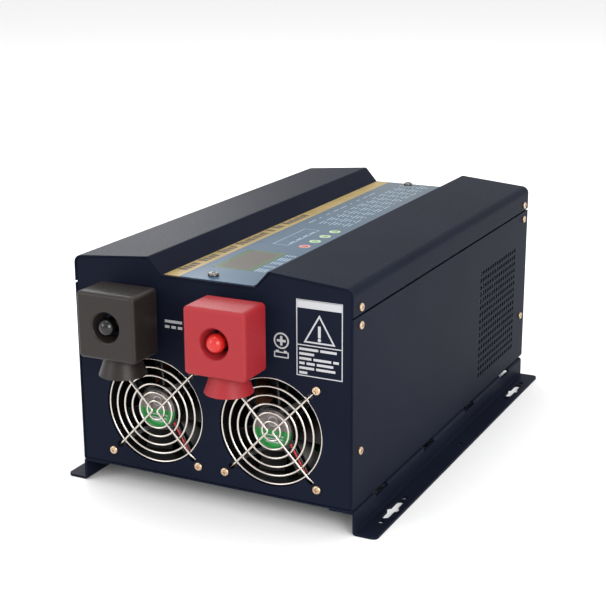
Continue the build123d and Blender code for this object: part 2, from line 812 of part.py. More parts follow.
# ---------------------------------------------------------------- fans
# Outwards to inwards: wire guard, panel, frame with a struts-and-hub plate, rotor.
fan_face_depth = case_sheet + 2 * guard_gap + guard_wire
strut_slant = strut_angle - strut_turn
strut_foot = (hub_radius - strut_sink, strut_side_offset)
strut_length = (fan_bore_radius + strut_sink - strut_foot[0]) / cos(radians(strut_slant))
rotor_hub_radius = hub_radius + rotor_cup_wall
rotor_depth = fan_depth - hub_recess - hub_plate - rotor_gap - 2
lead_start = Vector(14.7, -7.2, 0)
lead_run = fan_bore_radius - 10.6
lead_turn = lead_start + Vector(lead_run, 0, 0).rotate(Axis.Z, strut_angle)

with BuildPart() as fan_blade:
    with BuildSketch(Plane.YZ.offset(rotor_hub_radius - 1)):
        Rectangle(1.4, blade_chord, rotation=40)
    with BuildSketch(Plane.YZ.offset(fan_bore_radius - blade_tip_gap)):
        Rectangle(1.0, blade_chord, rotation=56)
    loft()

for name, x in fan_sides:
    face = end_plane(x, fan_center_z, -1, fan_face_depth)
    with BuildPart() as fan_frame:
        with BuildSketch(face):
            RectangleRounded(fan_size, fan_size, fan_corner_radius)
        extrude(amount=-fan_flange)
        with BuildSketch(face.offset(-fan_depth)):
            RectangleRounded(fan_size, fan_size, fan_corner_radius)
        extrude(amount=fan_flange)
        with BuildSketch(face):
            Circle(fan_bore_radius + fan_tube_wall)
            with GridLocations(fan_hole_pitch, fan_hole_pitch, 2, 2):
                Circle(fan_post_radius)
        extrude(amount=-fan_depth)
        with BuildSketch(face):
            Circle(fan_bore_radius)
            with GridLocations(fan_hole_pitch, fan_hole_pitch, 2, 2):
                Circle(fan_hole_radius)
        extrude(amount=-fan_depth, mode=Mode.SUBTRACT)
        with BuildSketch(face.offset(-hub_recess)):
            Circle(hub_radius)
            with PolarLocations(0, 4, start_angle=strut_turn):
                with Locations(strut_foot):
                    Rectangle(
                        strut_length, strut_width, rotation=strut_slant, align=(Align.MIN, Align.CENTER)
                    )
        extrude(amount=-hub_plate)
        with BuildSketch(face.offset(-hub_recess - hub_plate)):
            Circle(axle_boss_radius)
            Circle(axle_bore_radius, mode=Mode.SUBTRACT)
        extrude(amount=-rotor_gap - rotor_depth + 5)
        with BuildSketch(face):
            with Locations((lead_turn.X - 0.4, lead_turn.Y + 0.7)):
                Rectangle(8, lead_notch_width, rotation=strut_angle)
        extrude(amount=-fan_flange, mode=Mode.SUBTRACT)
        with BuildSketch(face):
            with Locations((lead_turn.X, lead_turn.Y)):
                Rectangle(3.6, lead_notch_width, rotation=strut_angle)
        extrude(amount=-fan_depth, mode=Mode.SUBTRACT)
    fan_frame.part.label = f"{name}_fan_frame"
    export_step(fan_frame.part, f"parts/{name}_fan_frame.step")

    rotor_face = face.offset(-hub_recess - hub_plate - rotor_gap)
    with BuildPart(rotor_face) as fan_rotor:
        Cylinder(rotor_hub_radius, rotor_depth, align=hanging)
        Cylinder(hub_radius, rotor_depth - 2, align=hanging, mode=Mode.SUBTRACT)
        Cylinder(axle_radius, rotor_depth, align=hanging)
        with Locations((0, 0, -rotor_depth / 2)):
            with PolarLocations(0, blade_count):
                add(fan_blade.part)
        Cylinder(fan_bore_radius - blade_tip_gap, rotor_depth, align=hanging, mode=Mode.INTERSECT)
    fan_rotor.part.label = f"{name}_fan_rotor"
    export_step(fan_rotor.part, f"parts/{name}_fan_rotor.step")

    ring_plane = end_plane(x, fan_center_z, -1, case_sheet + guard_gap + guard_wire / 2)
    spoke_lift = guard_wire - guard_spoke_sink
    knee = (ear_slot_reach - 5.6) / 2 ** 0.5
    foot = (ear_slot_reach - 1.4) / 2 ** 0.5
    landing = (fan_hole_diagonal - guard_eye_radius) / 2 ** 0.5
    guard_outer_radius = fan_size / 2 - guard_edge_margin
    ring_pitch = (guard_outer_radius - guard_inner_radius) / (guard_ring_count - 1)
    with BuildPart(ring_plane) as fan_guard:
        for i in range(guard_ring_count):
            Torus(guard_inner_radius + i * ring_pitch, guard_wire / 2)
        for side in (-1, 1):
            corners = [
                (side * landing, landing, 0),
                (side * foot, foot, 0),
                (side * knee, knee, spoke_lift),
                (side * 1.6, 0, spoke_lift),
                (side * knee, -knee, spoke_lift),
                (side * foot, -foot, 0),
                (side * landing, -landing, 0),
            ]
            with BuildLine(ring_plane) as spoke:
                FilletPolyline(*corners, radius=[1.2, 1.2, 1.5, 1.2, 1.2])
            start = Plane(origin=spoke.line @ 0, z_dir=spoke.line % 0)
            with BuildSketch(start):
                Circle(guard_wire / 2)
            sweep(path=spoke.line)
        with GridLocations(fan_hole_pitch, fan_hole_pitch, 2, 2):
            Torus(guard_eye_radius, guard_wire / 2)
    fan_guard.part.label = f"{name}_fan_guard"
    export_step(fan_guard.part, f"parts/{name}_fan_guard.step")

with BuildPart() as fan_labels:
    for _, x in fan_sides:
        with BuildSketch(end_plane(x, fan_center_z, -1, fan_face_depth + hub_recess)):
            Circle(hub_radius - hub_label_margin)
        extrude(amount=hub_label_sheet)
fan_labels.part.label = "fan_labels"
export_step(fan_labels.part, "parts/fan_labels.step")

with BuildPart() as fan_screws:
    screw = pan_screw(fan_screw_head_radius, fan_screw_head_height, fan_screw_radius, fan_screw_length)
    for _, x in fan_sides:
        with Locations(end_plane(x, fan_center_z, -1)):
            with GridLocations(fan_hole_pitch, fan_hole_pitch, 2, 2):
                add(screw)
fan_screws.part.label = "fan_screws"
export_step(fan_screws.part, "parts/fan_screws.step")

# Each fan's two leads lie side by side along the lower right strut, pass through the notch
# in the frame, and run back to the front edge of the power board.
lead_rise = power_board_top + lead_radius + 0.05 - fan_center_z
lead_depth = hub_recess - lead_radius - 0.05
for name, side in (("red", -1), ("black", 1)):
    shift = Vector(0.82 * side, 0.47 * side, 0)
    with BuildPart() as leads:
        for _, x in fan_sides:
            face = end_plane(x, fan_center_z, -1, fan_face_depth)
            corners = [
                lead_start + Vector(0, 0, -lead_depth),
                lead_turn + Vector(0, 0, -lead_depth),
                lead_turn + Vector(0, 0, -fan_depth - 4),
                Vector(lead_turn.X, lead_rise - shift.Y, -fan_depth - 11),
                Vector(lead_turn.X, lead_rise - shift.Y, -fan_depth - 27),
            ]
            with BuildLine(face) as route:
                FilletPolyline(*[tuple(corner + shift) for corner in corners], radius=1.6)
            with BuildSketch(Plane(origin=route.line @ 0, z_dir=route.line % 0)):
                Circle(lead_radius)
            sweep(path=route.line)
    leads.part.label = f"fan_leads_{name}"
    export_step(leads.part, f"parts/fan_leads_{name}.step")

# ---------------------------------------------------------------- AC end
# Barrier terminal block on the outside of the panel, under a folded cover.
block_z = terminal_cover_z - terminal_block_drop
fixing_pitch = pole_width + terminal_block_end - 1
pole_places = [
    ((i - (terminal_pole_count - 1) / 2) * terminal_pole_pitch, 0)
    for i in range(terminal_pole_count)
]

block_face = end_plane(terminal_cover_x, block_z, 1)
with BuildPart() as ac_terminal_block:
    with BuildSketch(block_face):
        Rectangle(pole_width + 2 * terminal_block_end, terminal_block_height)
    extrude(amount=terminal_block_depth)
    with BuildSketch(block_face.offset(terminal_block_depth)):
        with Locations(*pole_places):
            Rectangle(terminal_pole_pitch - terminal_wall, terminal_block_height + 1)
    extrude(amount=-terminal_pole_depth, mode=Mode.SUBTRACT)
    with BuildSketch(block_face.offset(terminal_block_depth)):
        with Locations(*pole_places):
            with GridLocations(0, clamp_screw_pitch, 1, 2):
                Circle(clamp_screw_radius + thread_clearance)
    extrude(amount=-terminal_block_depth + 1.5, mode=Mode.SUBTRACT)
    with BuildSketch(block_face):
        with GridLocations(fixing_pitch, 0, 2, 1):
            Circle(screw_radius + thread_clearance)
    extrude(amount=terminal_block_depth, mode=Mode.SUBTRACT)
ac_terminal_block.part.label = "ac_terminal_block"
export_step(ac_terminal_block.part, "parts/ac_terminal_block.step")

with BuildPart() as terminal_block_screws:
    clamp_screw = pan_screw(2 * clamp_screw_radius, 2.2, clamp_screw_radius, 5)
    fixing_screw = pan_screw(
        screw_head_radius, screw_head_height, screw_radius, terminal_block_depth + 5
    )
    with Locations(block_face.offset(terminal_block_depth - terminal_pole_depth)):
        with Locations(*pole_places):
            with GridLocations(0, clamp_screw_pitch, 1, 2):
                add(clamp_screw)
    with Locations(block_face.offset(terminal_block_depth)):
        with GridLocations(fixing_pitch, 0, 2, 1):
            add(fixing_screw)
terminal_block_screws.part.label = "terminal_block_screws"
export_step(terminal_block_screws.part, "parts/terminal_block_screws.step")

cover_depth = ac_cover_reach + panel_recess
cover_foot_z = terminal_cover_z - terminal_cover_height / 2
grommet_depth = cover_depth * 0.54
cover_face = end_plane(terminal_cover_x, terminal_cover_z, 1).offset(terminal_cover_gap)
cover_hole_pitch = terminal_cover_height - 2 * cover_hole_inset

with BuildPart() as ac_terminal_cover:
    with BuildSketch(cover_face):
        Rectangle(terminal_cover_width, terminal_cover_height)
    extrude(amount=cover_depth - terminal_cover_gap)
    outer_rim = ac_terminal_cover.faces().sort_by(Axis.Y)[-1].edges()
    fillet(outer_rim, 1.5)
    with BuildSketch(cover_face):
        Rectangle(
            terminal_cover_width - 2 * terminal_cover_sheet,
            terminal_cover_height - 2 * terminal_cover_sheet,
        )
    extrude(amount=cover_depth - terminal_cover_gap - terminal_cover_sheet, mode=Mode.SUBTRACT)
    with BuildSketch(cover_face):
        RectangleRounded(terminal_cover_width + 2 * terminal_cover_flange, terminal_cover_height - 2, 1.5)
        with GridLocations(2 * cover_screw_offset, cover_hole_pitch, 2, 2):
            Circle(screw_hole_radius, mode=Mode.SUBTRACT)
        Rectangle(
            terminal_cover_width - 2 * terminal_cover_sheet, terminal_cover_height, mode=Mode.SUBTRACT
        )
    extrude(amount=terminal_cover_sheet)
    with BuildSketch(Plane.XY.offset(cover_foot_z)):
        with Locations((terminal_cover_x, rear_y - panel_recess + grommet_depth)):
            with Locations(*[(x, 0) for x in grommet_offsets]):
                Circle(grommet_bore_radius + grommet_groove_wall + grommet_clearance)
    extrude(amount=2 * terminal_cover_sheet, both=True, mode=Mode.SUBTRACT)
ac_terminal_cover.part.label = "ac_terminal_cover"
export_step(ac_terminal_cover.part, "parts/ac_terminal_cover.step")

with BuildPart() as ac_cover_screws:
    screw = pan_screw(screw_head_radius, screw_head_height, screw_radius, 6)
    with Locations(cover_face.offset(terminal_cover_sheet)):
        with GridLocations(2 * cover_screw_offset, cover_hole_pitch, 2, 2):
            add(screw)
ac_cover_screws.part.label = "ac_cover_screws"
export_step(ac_cover_screws.part, "parts/ac_cover_screws.step")

# Rubber grommets: a groove grips the cover's underside round each cable entry.
grommet_y = rear_y - panel_recess + grommet_depth
grommet_z = cover_foot_z + terminal_cover_sheet / 2
groove_height = terminal_cover_sheet + grommet_clearance
rim_height = (grommet_height - groove_height) / 2
rim_offset = (grommet_height - rim_height) / 2

with BuildPart() as cable_grommets:
    with Locations(*[(terminal_cover_x + x, grommet_y, grommet_z) for x in grommet_offsets]):
        Cylinder(grommet_bore_radius + grommet_groove_wall, groove_height)
        with Locations((0, 0, rim_offset), (0, 0, -rim_offset)):
            Cylinder(grommet_bore_radius + grommet_rim_wall, rim_height)
        Cylinder(grommet_bore_radius, 2 * grommet_height, mode=Mode.SUBTRACT)
cable_grommets.part.label = "cable_grommets"
export_step(cable_grommets.part, "parts/cable_grommets.step")

# Push-to-reset breakers, snapped in from outside: body, flange and neck in one, and the
# button in a bore with a collar chamber behind it.
button_bore = button_radius + button_clearance
collar_radius = button_radius + 1.2
collar_length = 2.5
chamber_depth = breaker_travel + collar_length + 1.0
neck_reach = 7.0
breaker_flange_radius = 9.0
breaker_flange = 2.4

with BuildPart() as breaker_bodies:
    for _, x in breaker_places:
        face = end_plane(x, breaker_z, 1)
        with BuildSketch(face.offset(-case_sheet)):
            RectangleRounded(*breaker_body, 1)
        extrude(amount=-breaker_depth)
        with BuildSketch(face):
            Circle(breaker_flange_radius)
        extrude(amount=breaker_flange)
        with BuildSketch(face.offset(-case_sheet)):
            Circle(breaker_hole_radius)
        extrude(amount=case_sheet + neck_reach)
        with BuildSketch(face.offset(neck_reach)):
            Circle(button_bore)
        extrude(amount=-neck_reach - case_sheet - 2, mode=Mode.SUBTRACT)
        with BuildSketch(face.offset(-case_sheet - 1)):
            Circle(collar_radius + button_clearance)
        extrude(amount=-chamber_depth, mode=Mode.SUBTRACT)
breaker_bodies.part.label = "breaker_bodies"
export_step(breaker_bodies.part, "parts/breaker_bodies.step")

button_tip = neck_reach + 2.0
button_rear = case_sheet + chamber_depth + 0.5
for name, x in breaker_places:
    face = end_plane(x, breaker_z, 1)
    with BuildPart() as button:
        with BuildSketch(face.offset(button_tip)):
            Circle(button_radius)
        extrude(amount=-button_tip - button_rear)
        fillet(button.edges().sort_by(Axis.Y)[-1], 0.8)
        with BuildSketch(face.offset(-button_rear)):
            Circle(collar_radius)
        extrude(amount=collar_length)
    button.part.label = f"{name}_breaker_button"
    export_step(button.part, f"parts/{name}_breaker_button.step")

# Three-position rocker: a snap-in housing with a bezel, and the paddle on its two pins.
bezel_height = 2.0
housing_wall = 1.8
paddle_gap = 0.5
housing_length = switch_cutout[0] - 2 * snap_clearance
housing_width = switch_cutout[1] - 2 * snap_clearance
paddle_width = housing_width - 2 * housing_wall - 2 * paddle_gap
paddle_length = housing_length - 2 * housing_wall - 2 * paddle_gap - 0.2
housing_depth = 15.0
pivot_radius = 1.3
switch_face = end_plane(switch_x, switch_z, 1)

with BuildPart() as power_switch_housing:
    with BuildSketch(switch_face):
        RectangleRounded(housing_length + 4, housing_width + 4, 2)
    extrude(amount=bezel_height)
    with BuildSketch(switch_face):
        Rectangle(housing_length, housing_width)
    extrude(amount=-housing_depth)
    with BuildSketch(switch_face.offset(bezel_height)):
        Rectangle(housing_length - 2 * housing_wall, housing_width - 2 * housing_wall)
    extrude(amount=-bezel_height - housing_depth + 3, mode=Mode.SUBTRACT)
    with BuildSketch(Plane.XY.offset(switch_z)):
        with Locations((switch_x, rear_y - panel_recess)):
            Circle(pivot_radius + 0.3)
    extrude(amount=paddle_width / 2 + 1.6, both=True, mode=Mode.SUBTRACT)
power_switch_housing.part.label = "power_switch_housing"
export_step(power_switch_housing.part, "parts/power_switch_housing.step")

pivot = Plane(origin=(switch_x, rear_y - panel_recess, switch_z))
with BuildPart(pivot) as power_switch_rocker:
    half = paddle_length / 2
    with BuildSketch(pivot):
        with BuildLine():
            Polyline(
                (-half + 0.5, 4.6),
                (0, 2.4),
                (half - 0.5, 4.6),
                (half - 0.9, -1.5),
                (0, -5.5),
                (-half + 0.9, -1.5),
                close=True,
            )
        make_face()
    extrude(amount=paddle_width / 2, both=True)
    Cylinder(pivot_radius, paddle_width + 2.6)
power_switch_rocker.part.label = "power_switch_rocker"
export_step(power_switch_rocker.part, "parts/power_switch_rocker.step")

# Battery-type selector: a rotary switch behind the panel and a pointer knob on its shaft.
selector_face = end_plane(selector_x, selector_z, 1)
selector_shaft_radius = 3.0
selector_neck_height = 1.6
knob_radius = 8.0
knob_height = 9.0
knob_flute_count = 18
knob_face = selector_face.offset(selector_neck_height + 0.4)

with BuildPart() as selector_switch:
    with BuildSketch(selector_face.offset(-case_sheet)):
        RectangleRounded(selector_body_width, selector_body_width, 1.5)
    extrude(amount=-selector_body_depth)
    with BuildSketch(selector_face.offset(-case_sheet)):
        Circle(selector_neck_radius)
    extrude(amount=case_sheet + selector_neck_height)
    with BuildSketch(selector_face.offset(selector_neck_height)):
        Circle(selector_shaft_radius + button_clearance)
    extrude(amount=-selector_body_depth, mode=Mode.SUBTRACT)
selector_switch.part.label = "selector_switch"
export_step(selector_switch.part, "parts/selector_switch.step")

with BuildPart() as battery_selector_knob:
    with BuildSketch(knob_face):
        Circle(knob_radius)
    extrude(amount=knob_height, taper=3)
    with BuildSketch(knob_face.offset(knob_height)):
        with Locations((0, knob_radius * 0.45)):
            Rectangle(1.2, knob_radius)
    extrude(amount=-0.8, mode=Mode.SUBTRACT)
    with BuildSketch(knob_face):
        with PolarLocations(knob_radius + 0.6, knob_flute_count):
            Circle(1.0)
    extrude(amount=knob_height - 1.5, mode=Mode.SUBTRACT)
    with BuildSketch(knob_face):
        Circle(selector_shaft_radius)
    extrude(amount=-selector_body_depth + 0.5)
battery_selector_knob.part.label = "battery_selector_knob"
export_step(battery_selector_knob.part, "parts/battery_selector_knob.step")

# Modular jack for a remote panel.
socket_face = end_plane(socket_x, socket_z, 1)
with BuildPart() as remote_socket:
    with BuildSketch(socket_face.offset(0.3)):
        Rectangle(socket_cutout[0] - 2 * snap_clearance, socket_cutout[1] - 2 * snap_clearance)
    extrude(amount=-case_sheet - 0.3)
    with BuildSketch(socket_face.offset(-case_sheet)):
        Rectangle(socket_cutout[0] + 2, socket_cutout[1] + 2)
    extrude(amount=-socket_depth)
    with BuildSketch(socket_face.offset(0.3)):
        Rectangle(9.8, 6.4)
        with Locations((0, -3.8)):
            Rectangle(4.4, 2.4)
    extrude(amount=-12, mode=Mode.SUBTRACT)
remote_socket.part.label = "remote_socket"
export_step(remote_socket.part, "parts/remote_socket.step")

# ---------------------------------------------------------------- transformer
# Toroidal core inside its taped winding, between two rubber pads, held by a dished plate
# and one bolt through the tray floor.
winding_foot = tray_floor + pad_thickness
winding_top = winding_foot + transformer_height
lead_out = 12.0
core_gap = 0.3

with BuildPart() as transformer_winding:
    with Locations((0, transformer_y, winding_foot)):
        Cylinder(transformer_radius, transformer_height, align=seated)
        Cylinder(transformer_bore, transformer_height, align=seated, mode=Mode.SUBTRACT)
    fillet(transformer_winding.edges().filter_by(GeomType.CIRCLE), 9)
    with Locations((0, transformer_y, winding_foot + transformer_height / 2)):
        core_space = transformer_height - 2 * (winding_wall - core_gap)
        Cylinder(transformer_radius - winding_wall + core_gap, core_space, mode=Mode.SUBTRACT)
    with Locations((0, transformer_y, winding_foot + winding_wall - core_gap)):
        Cylinder(transformer_bore + winding_wall - core_gap, core_space, align=seated)
        Cylinder(transformer_bore, core_space, align=seated, mode=Mode.SUBTRACT)
    with Locations((0, transformer_y - transformer_radius, winding_foot + transformer_height / 2)):
        Box(lead_out * 4, 2.5 * winding_wall, lead_out, mode=Mode.SUBTRACT)
transformer_winding.part.label = "transformer_winding"
export_step(transformer_winding.part, "parts/transformer_winding.step")

with BuildPart() as transformer_core:
    with Locations((0, transformer_y, winding_foot + transformer_height / 2)):
        core_height = transformer_height - 2 * winding_wall
        Cylinder(transformer_radius - winding_wall, core_height)
        Cylinder(transformer_bore + winding_wall, core_height, mode=Mode.SUBTRACT)
transformer_core.part.label = "transformer_core"
export_step(transformer_core.part, "parts/transformer_core.step")

with BuildPart() as transformer_pads:
    with Locations((0, transformer_y, tray_floor), (0, transformer_y, winding_top)):
        Cylinder(transformer_radius - pad_inset, pad_thickness, align=seated)
        Cylinder(bolt_radius + 2, pad_thickness, align=seated, mode=Mode.SUBTRACT)
transformer_pads.part.label = "transformer_pads"
export_step(transformer_pads.part, "parts/transformer_pads.step")

plate_foot = winding_top + pad_thickness
with BuildPart() as transformer_clamp_plate:
    with Locations((0, transformer_y, plate_foot)):
        Cylinder(clamp_plate_radius, clamp_plate_sheet, align=seated)
        Cylinder(bolt_radius + bolt_clearance, clamp_plate_sheet, align=seated, mode=Mode.SUBTRACT)
transformer_clamp_plate.part.label = "transformer_clamp_plate"
export_step(transformer_clamp_plate.part, "parts/transformer_clamp_plate.step")

with BuildPart() as transformer_bolt:
    with BuildSketch(Plane.XY.offset(tray_underside)):
        with Locations((0, transformer_y)):
            RegularPolygon(bolt_radius + bolt_hex_wall, 6)
    extrude(amount=-bolt_head_height)
    with Locations((0, transformer_y, tray_underside)):
        Cylinder(bolt_radius, plate_foot + bolt_end - tray_underside, align=seated)
    with BuildSketch(Plane.XY.offset(plate_foot + clamp_plate_sheet)):
        with Locations((0, transformer_y)):
            RegularPolygon(bolt_radius + bolt_hex_wall, 6)
    extrude(amount=bolt_nut_height)
transformer_bolt.part.label = "transformer_bolt"
export_step(transformer_bolt.part, "parts/transformer_bolt.step")

# ---------------------------------------------------------------- power stage
heatsink_x = 60.0
heatsink_length = 104.0
heatsink_base = 6.0
heatsink_fin = 26.0
heatsink_height = 66.0
fin_count = 9
fin_sheet = 1.8
transistor_count = 7
transistor_width = 11.0
transistor_height = 20.0
transistor_depth = 4.8
transistor_leg = 14.0
transistor_leg_places = (-3.6, 0.0, 3.6)

with BuildPart() as power_board:
    with Locations((0, power_board_y, power_board_z)):
        Box(power_board_width, power_board_length, board_sheet, align=seated)
power_board.part.label = "power_board"
export_step(power_board.part, "parts/power_board.step")

with BuildPart() as heatsinks:
    sink_y = power_board_y + 8
    for side in (-1, 1):
        with BuildSketch(Plane.XZ.offset(-sink_y - heatsink_length / 2)):
            with Locations((side * (heatsink_x + heatsink_base / 2), power_board_top + heatsink_height / 2)):
                Rectangle(heatsink_base, heatsink_height)
            with Locations((
                side * (heatsink_x + heatsink_base + heatsink_fin / 2),
                power_board_top + heatsink_height / 2,
            )):
                with GridLocations(0, (heatsink_height - fin_sheet) / (fin_count - 1), 1, fin_count):
                    Rectangle(heatsink_fin, fin_sheet)
        extrude(amount=heatsink_length)
heatsinks.part.label = "heatsinks"
export_step(heatsinks.part, "parts/heatsinks.step")

with BuildPart() as power_transistors:
    for side in (-1, 1):
        foot = (side * heatsink_x, sink_y, power_board_top + transistor_leg)
        row = Plane(origin=foot, x_dir=(0, -side, 0), z_dir=(-side, 0, 0))
        with Locations(row):
            with GridLocations(heatsink_length / transistor_count, 0, transistor_count, 1):
                Box(
                    transistor_width, transistor_height, transistor_depth,
                    align=(Align.CENTER, Align.MIN, Align.MIN),
                )
                with Locations(*[(x, 0, 2.0) for x in transistor_leg_places]):
                    Box(1.2, transistor_leg, 0.8, align=(Align.CENTER, Align.MAX, Align.MIN))
power_transistors.part.label = "power_transistors"
export_step(power_transistors.part, "parts/power_transistors.step")

capacitor_radius = 11.0
capacitor_height = 42.0
capacitor_pitch = (27.0, 26.0)
with BuildPart() as capacitors:
    with Locations((0, power_board_y - 6, power_board_top)):
        with GridLocations(*capacitor_pitch, 3, 3):
            Cylinder(capacitor_radius, capacitor_height, align=seated)
    fillet(capacitors.edges().filter_by(GeomType.CIRCLE).group_by(Axis.Z)[-1], 1.5)
capacitors.part.label = "capacitors"
export_step(capacitors.part, "parts/capacitors.step")

with BuildPart() as control_board:
    with Locations((0, control_board_y, control_board_z)):
        Box(control_board_width, control_board_length, board_sheet, align=seated)
control_board.part.label = "control_board"
export_step(control_board.part, "parts/control_board.step")

relay_body = (28.0, 32.0, 26.0)
relay_pitch = 38.0
relay_offset = 30.0
with BuildPart() as transfer_relays:
    with Locations((0, control_board_y + relay_offset, control_board_z + board_sheet)):
        with GridLocations(relay_pitch, 0, 4, 1):
            Box(*relay_body, align=seated)
    fillet(transfer_relays.edges().filter_by(Axis.Z), 1.2)
transfer_relays.part.label = "transfer_relays"
export_step(transfer_relays.part, "parts/transfer_relays.step")

# Spacers that hold the three boards.
power_post_places = corner_places(power_board_width, power_board_length, power_post_inset, power_board_y)
control_post_places = corner_places(
    control_board_width, control_board_length, control_post_inset, control_board_y
)
display_post_places = corner_places(
    display_board_width, display_board_length, display_post_inset, display_board_y
)

with BuildPart() as board_spacers:
    with Locations(*[(x, y, tray_floor) for x, y in power_post_places]):
        Cylinder(post_radius, power_board_z - tray_floor, align=seated)
    with Locations(*[(x, y, tray_floor) for x, y in control_post_places]):
        Cylinder(post_radius, control_board_z - tray_floor, align=seated)
    with Locations(*[(x, y, display_board_top) for x, y in display_post_places]):
        Cylinder(display_post_radius, valley_underside - display_board_top, align=seated)
board_spacers.part.label = "board_spacers"
export_step(board_spacers.part, "parts/board_spacers.step")

# Heavy leads from the winding down to the power board, each ending in a crimped lug.
lead_x = 17.0
cable_radius = 3.5
lug_radius = 6.5
lug_height = 1.6
mains_lead_radius = 1.6
mains_lead_places = (-6.0, 0.0, 6.0)
lead_start_y = transformer_y - transformer_radius + 2
lead_z = winding_foot + transformer_height / 2
lug_y = power_board_y + power_board_length / 2 - 10

with BuildPart() as transformer_leads:
    for side in (-1, 1):
        with BuildLine(Plane.YZ.offset(side * lead_x)) as route:
            FilletPolyline(
                (lead_start_y, lead_z),
                (lug_y, lead_z),
                (lug_y, power_board_top + 1.5),
                radius=9,
            )
        with BuildSketch(Plane(origin=route.line @ 0, z_dir=route.line % 0)):
            Circle(cable_radius)
        sweep(path=route.line)
        with Locations((side * lead_x, lug_y, power_board_top)):
            Cylinder(lug_radius, lug_height, align=seated)
    for x in mains_lead_places:
        with BuildLine(Plane.YZ.offset(x)) as route:
            FilletPolyline(
                (lead_start_y, lead_z),
                (lead_start_y - 8, lead_z),
                (lead_start_y - 8, control_board_z - 12),
                (lead_start_y + 8, control_board_z - 12),
                (lead_start_y + 8, control_board_z),
                radius=3.5,
            )
        with BuildSketch(Plane(origin=route.line @ 0, z_dir=route.line % 0)):
            Circle(mains_lead_radius)
        sweep(path=route.line)
transformer_leads.part.label = "transformer_leads"
export_step(transformer_leads.part, "parts/transformer_leads.step")
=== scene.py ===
import bpy
from math import cos, pi, radians, sin
from mathutils import Matrix, Vector


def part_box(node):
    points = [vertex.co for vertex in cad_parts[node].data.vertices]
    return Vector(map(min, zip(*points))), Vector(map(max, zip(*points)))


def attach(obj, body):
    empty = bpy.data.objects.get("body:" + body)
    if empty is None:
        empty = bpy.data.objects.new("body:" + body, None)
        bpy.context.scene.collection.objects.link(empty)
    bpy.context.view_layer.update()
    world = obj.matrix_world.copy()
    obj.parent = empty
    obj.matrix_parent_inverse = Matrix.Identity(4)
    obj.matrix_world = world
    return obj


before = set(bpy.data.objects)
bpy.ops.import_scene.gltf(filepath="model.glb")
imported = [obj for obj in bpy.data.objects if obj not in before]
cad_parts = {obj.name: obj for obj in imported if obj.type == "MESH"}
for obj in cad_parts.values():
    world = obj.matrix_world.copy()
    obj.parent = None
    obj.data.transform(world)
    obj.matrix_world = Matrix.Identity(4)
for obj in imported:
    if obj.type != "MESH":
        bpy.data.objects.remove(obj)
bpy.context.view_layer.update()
MM = 0.001

# ---------------------------------------------------------------- camera
# An 80 mm lens on a 36 mm sensor, level with the top of a bench, a metre away and to the
# right of the battery end. It looks slightly down, so the top and the right side both show.
azimuth = radians(26.46)
elevation = radians(16.17)
tilt = radians(-0.258)
case_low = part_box("top_cover")[0]
stand_right = 0.45
stand_back = 0.7584
lens_height = 0.4057
camera_place = Vector((stand_right, case_low.y - stand_back, lens_height))

back = Vector((sin(azimuth) * cos(elevation), -cos(azimuth) * cos(elevation), sin(elevation)))
right = Vector((cos(azimuth), sin(azimuth), 0))
up = back.cross(right)
across = cos(tilt) * right + sin(tilt) * up
upward = cos(tilt) * up - sin(tilt) * right

lens = bpy.data.cameras.new("camera")
focal_length = 80
sensor_width = 36
nearest_seen = 0.01
lens.lens = focal_length
lens.sensor_width = sensor_width
lens.clip_start = nearest_seen
camera = bpy.data.objects.new("camera", lens)
bpy.context.scene.collection.objects.link(camera)
turned = Matrix((across, upward, back)).transposed().to_4x4()
camera.matrix_world = Matrix.Translation(camera_place) @ turned
bpy.context.scene.camera = camera
bpy.context.scene.view_settings.view_transform = "Standard"


# ---------------------------------------------------------------- bench and light
# A pale seamless bench top under broad, soft lights: one large panel overhead and behind,
# which puts the sheen on the ridges, and a weaker one in front on the left.
def linear(hex_colour):
    """RGBA in linear light from an sRGB hex colour."""
    shades = [int(hex_colour[i:i + 2], 16) / 255 for i in (1, 3, 5)]
    light = [c / 12.92 if c <= 0.04045 else ((c + 0.055) / 1.055) ** 2.4 for c in shades]
    return (*light, 1.0)


# A Mix node of colours takes its two colours and gives its result at these sockets.
mix_from, mix_to, mixed = 6, 7, 2


def add_node(material, kind, links=(), values=(), **settings):
    """Adds one shader node, sets its properties and input values, and links its inputs."""
    made = material.node_tree.nodes.new("ShaderNode" + kind)
    for name, value in settings.items():
        setattr(made, name, value)
    for socket, value in dict(values).items():
        made.inputs[socket].default_value = value
    for socket, source in dict(links).items():
        material.node_tree.links.new(made.inputs[socket], source)
    return made


def start_material(name, colour, roughness, metallic=0.0, **more):
    """A material with its principled shader, and the Object coordinates that patterns use."""
    material = bpy.data.materials.new(name)
    material.use_nodes = True
    shader = material.node_tree.nodes["Principled BSDF"]
    shader.inputs["Base Color"].default_value = linear(colour)
    shader.inputs["Roughness"].default_value = roughness
    shader.inputs["Metallic"].default_value = metallic
    for socket, value in more.items():
        shader.inputs[socket.replace("_", " ")].default_value = value
    coordinates = add_node(material, "TexCoord").outputs["Object"]
    return material, shader, coordinates


def join_to(material, shader, socket, source):
    """Feeds a shader socket from another node's output."""
    material.node_tree.links.new(shader.inputs[socket], source)


fibre_size = 5.56
bench_size = 60
bench_paper, shader, place = start_material(
    "matte_seamless_paper", "#f4f4f4", 0.9, Specular_IOR_Level=0.1,
)
fibre = add_node(
    bench_paper, "TexNoise", {"Vector": place}, {"Scale": 1 / (fibre_size * MM), "Detail": 4.0},
)
tone = add_node(
    bench_paper, "Mix", {0: fibre.outputs["Fac"]},
    {mix_from: linear("#f2f2f2"), mix_to: linear("#f6f6f6")}, data_type="RGBA",
)
join_to(bench_paper, shader, "Base Color", tone.outputs[mixed])

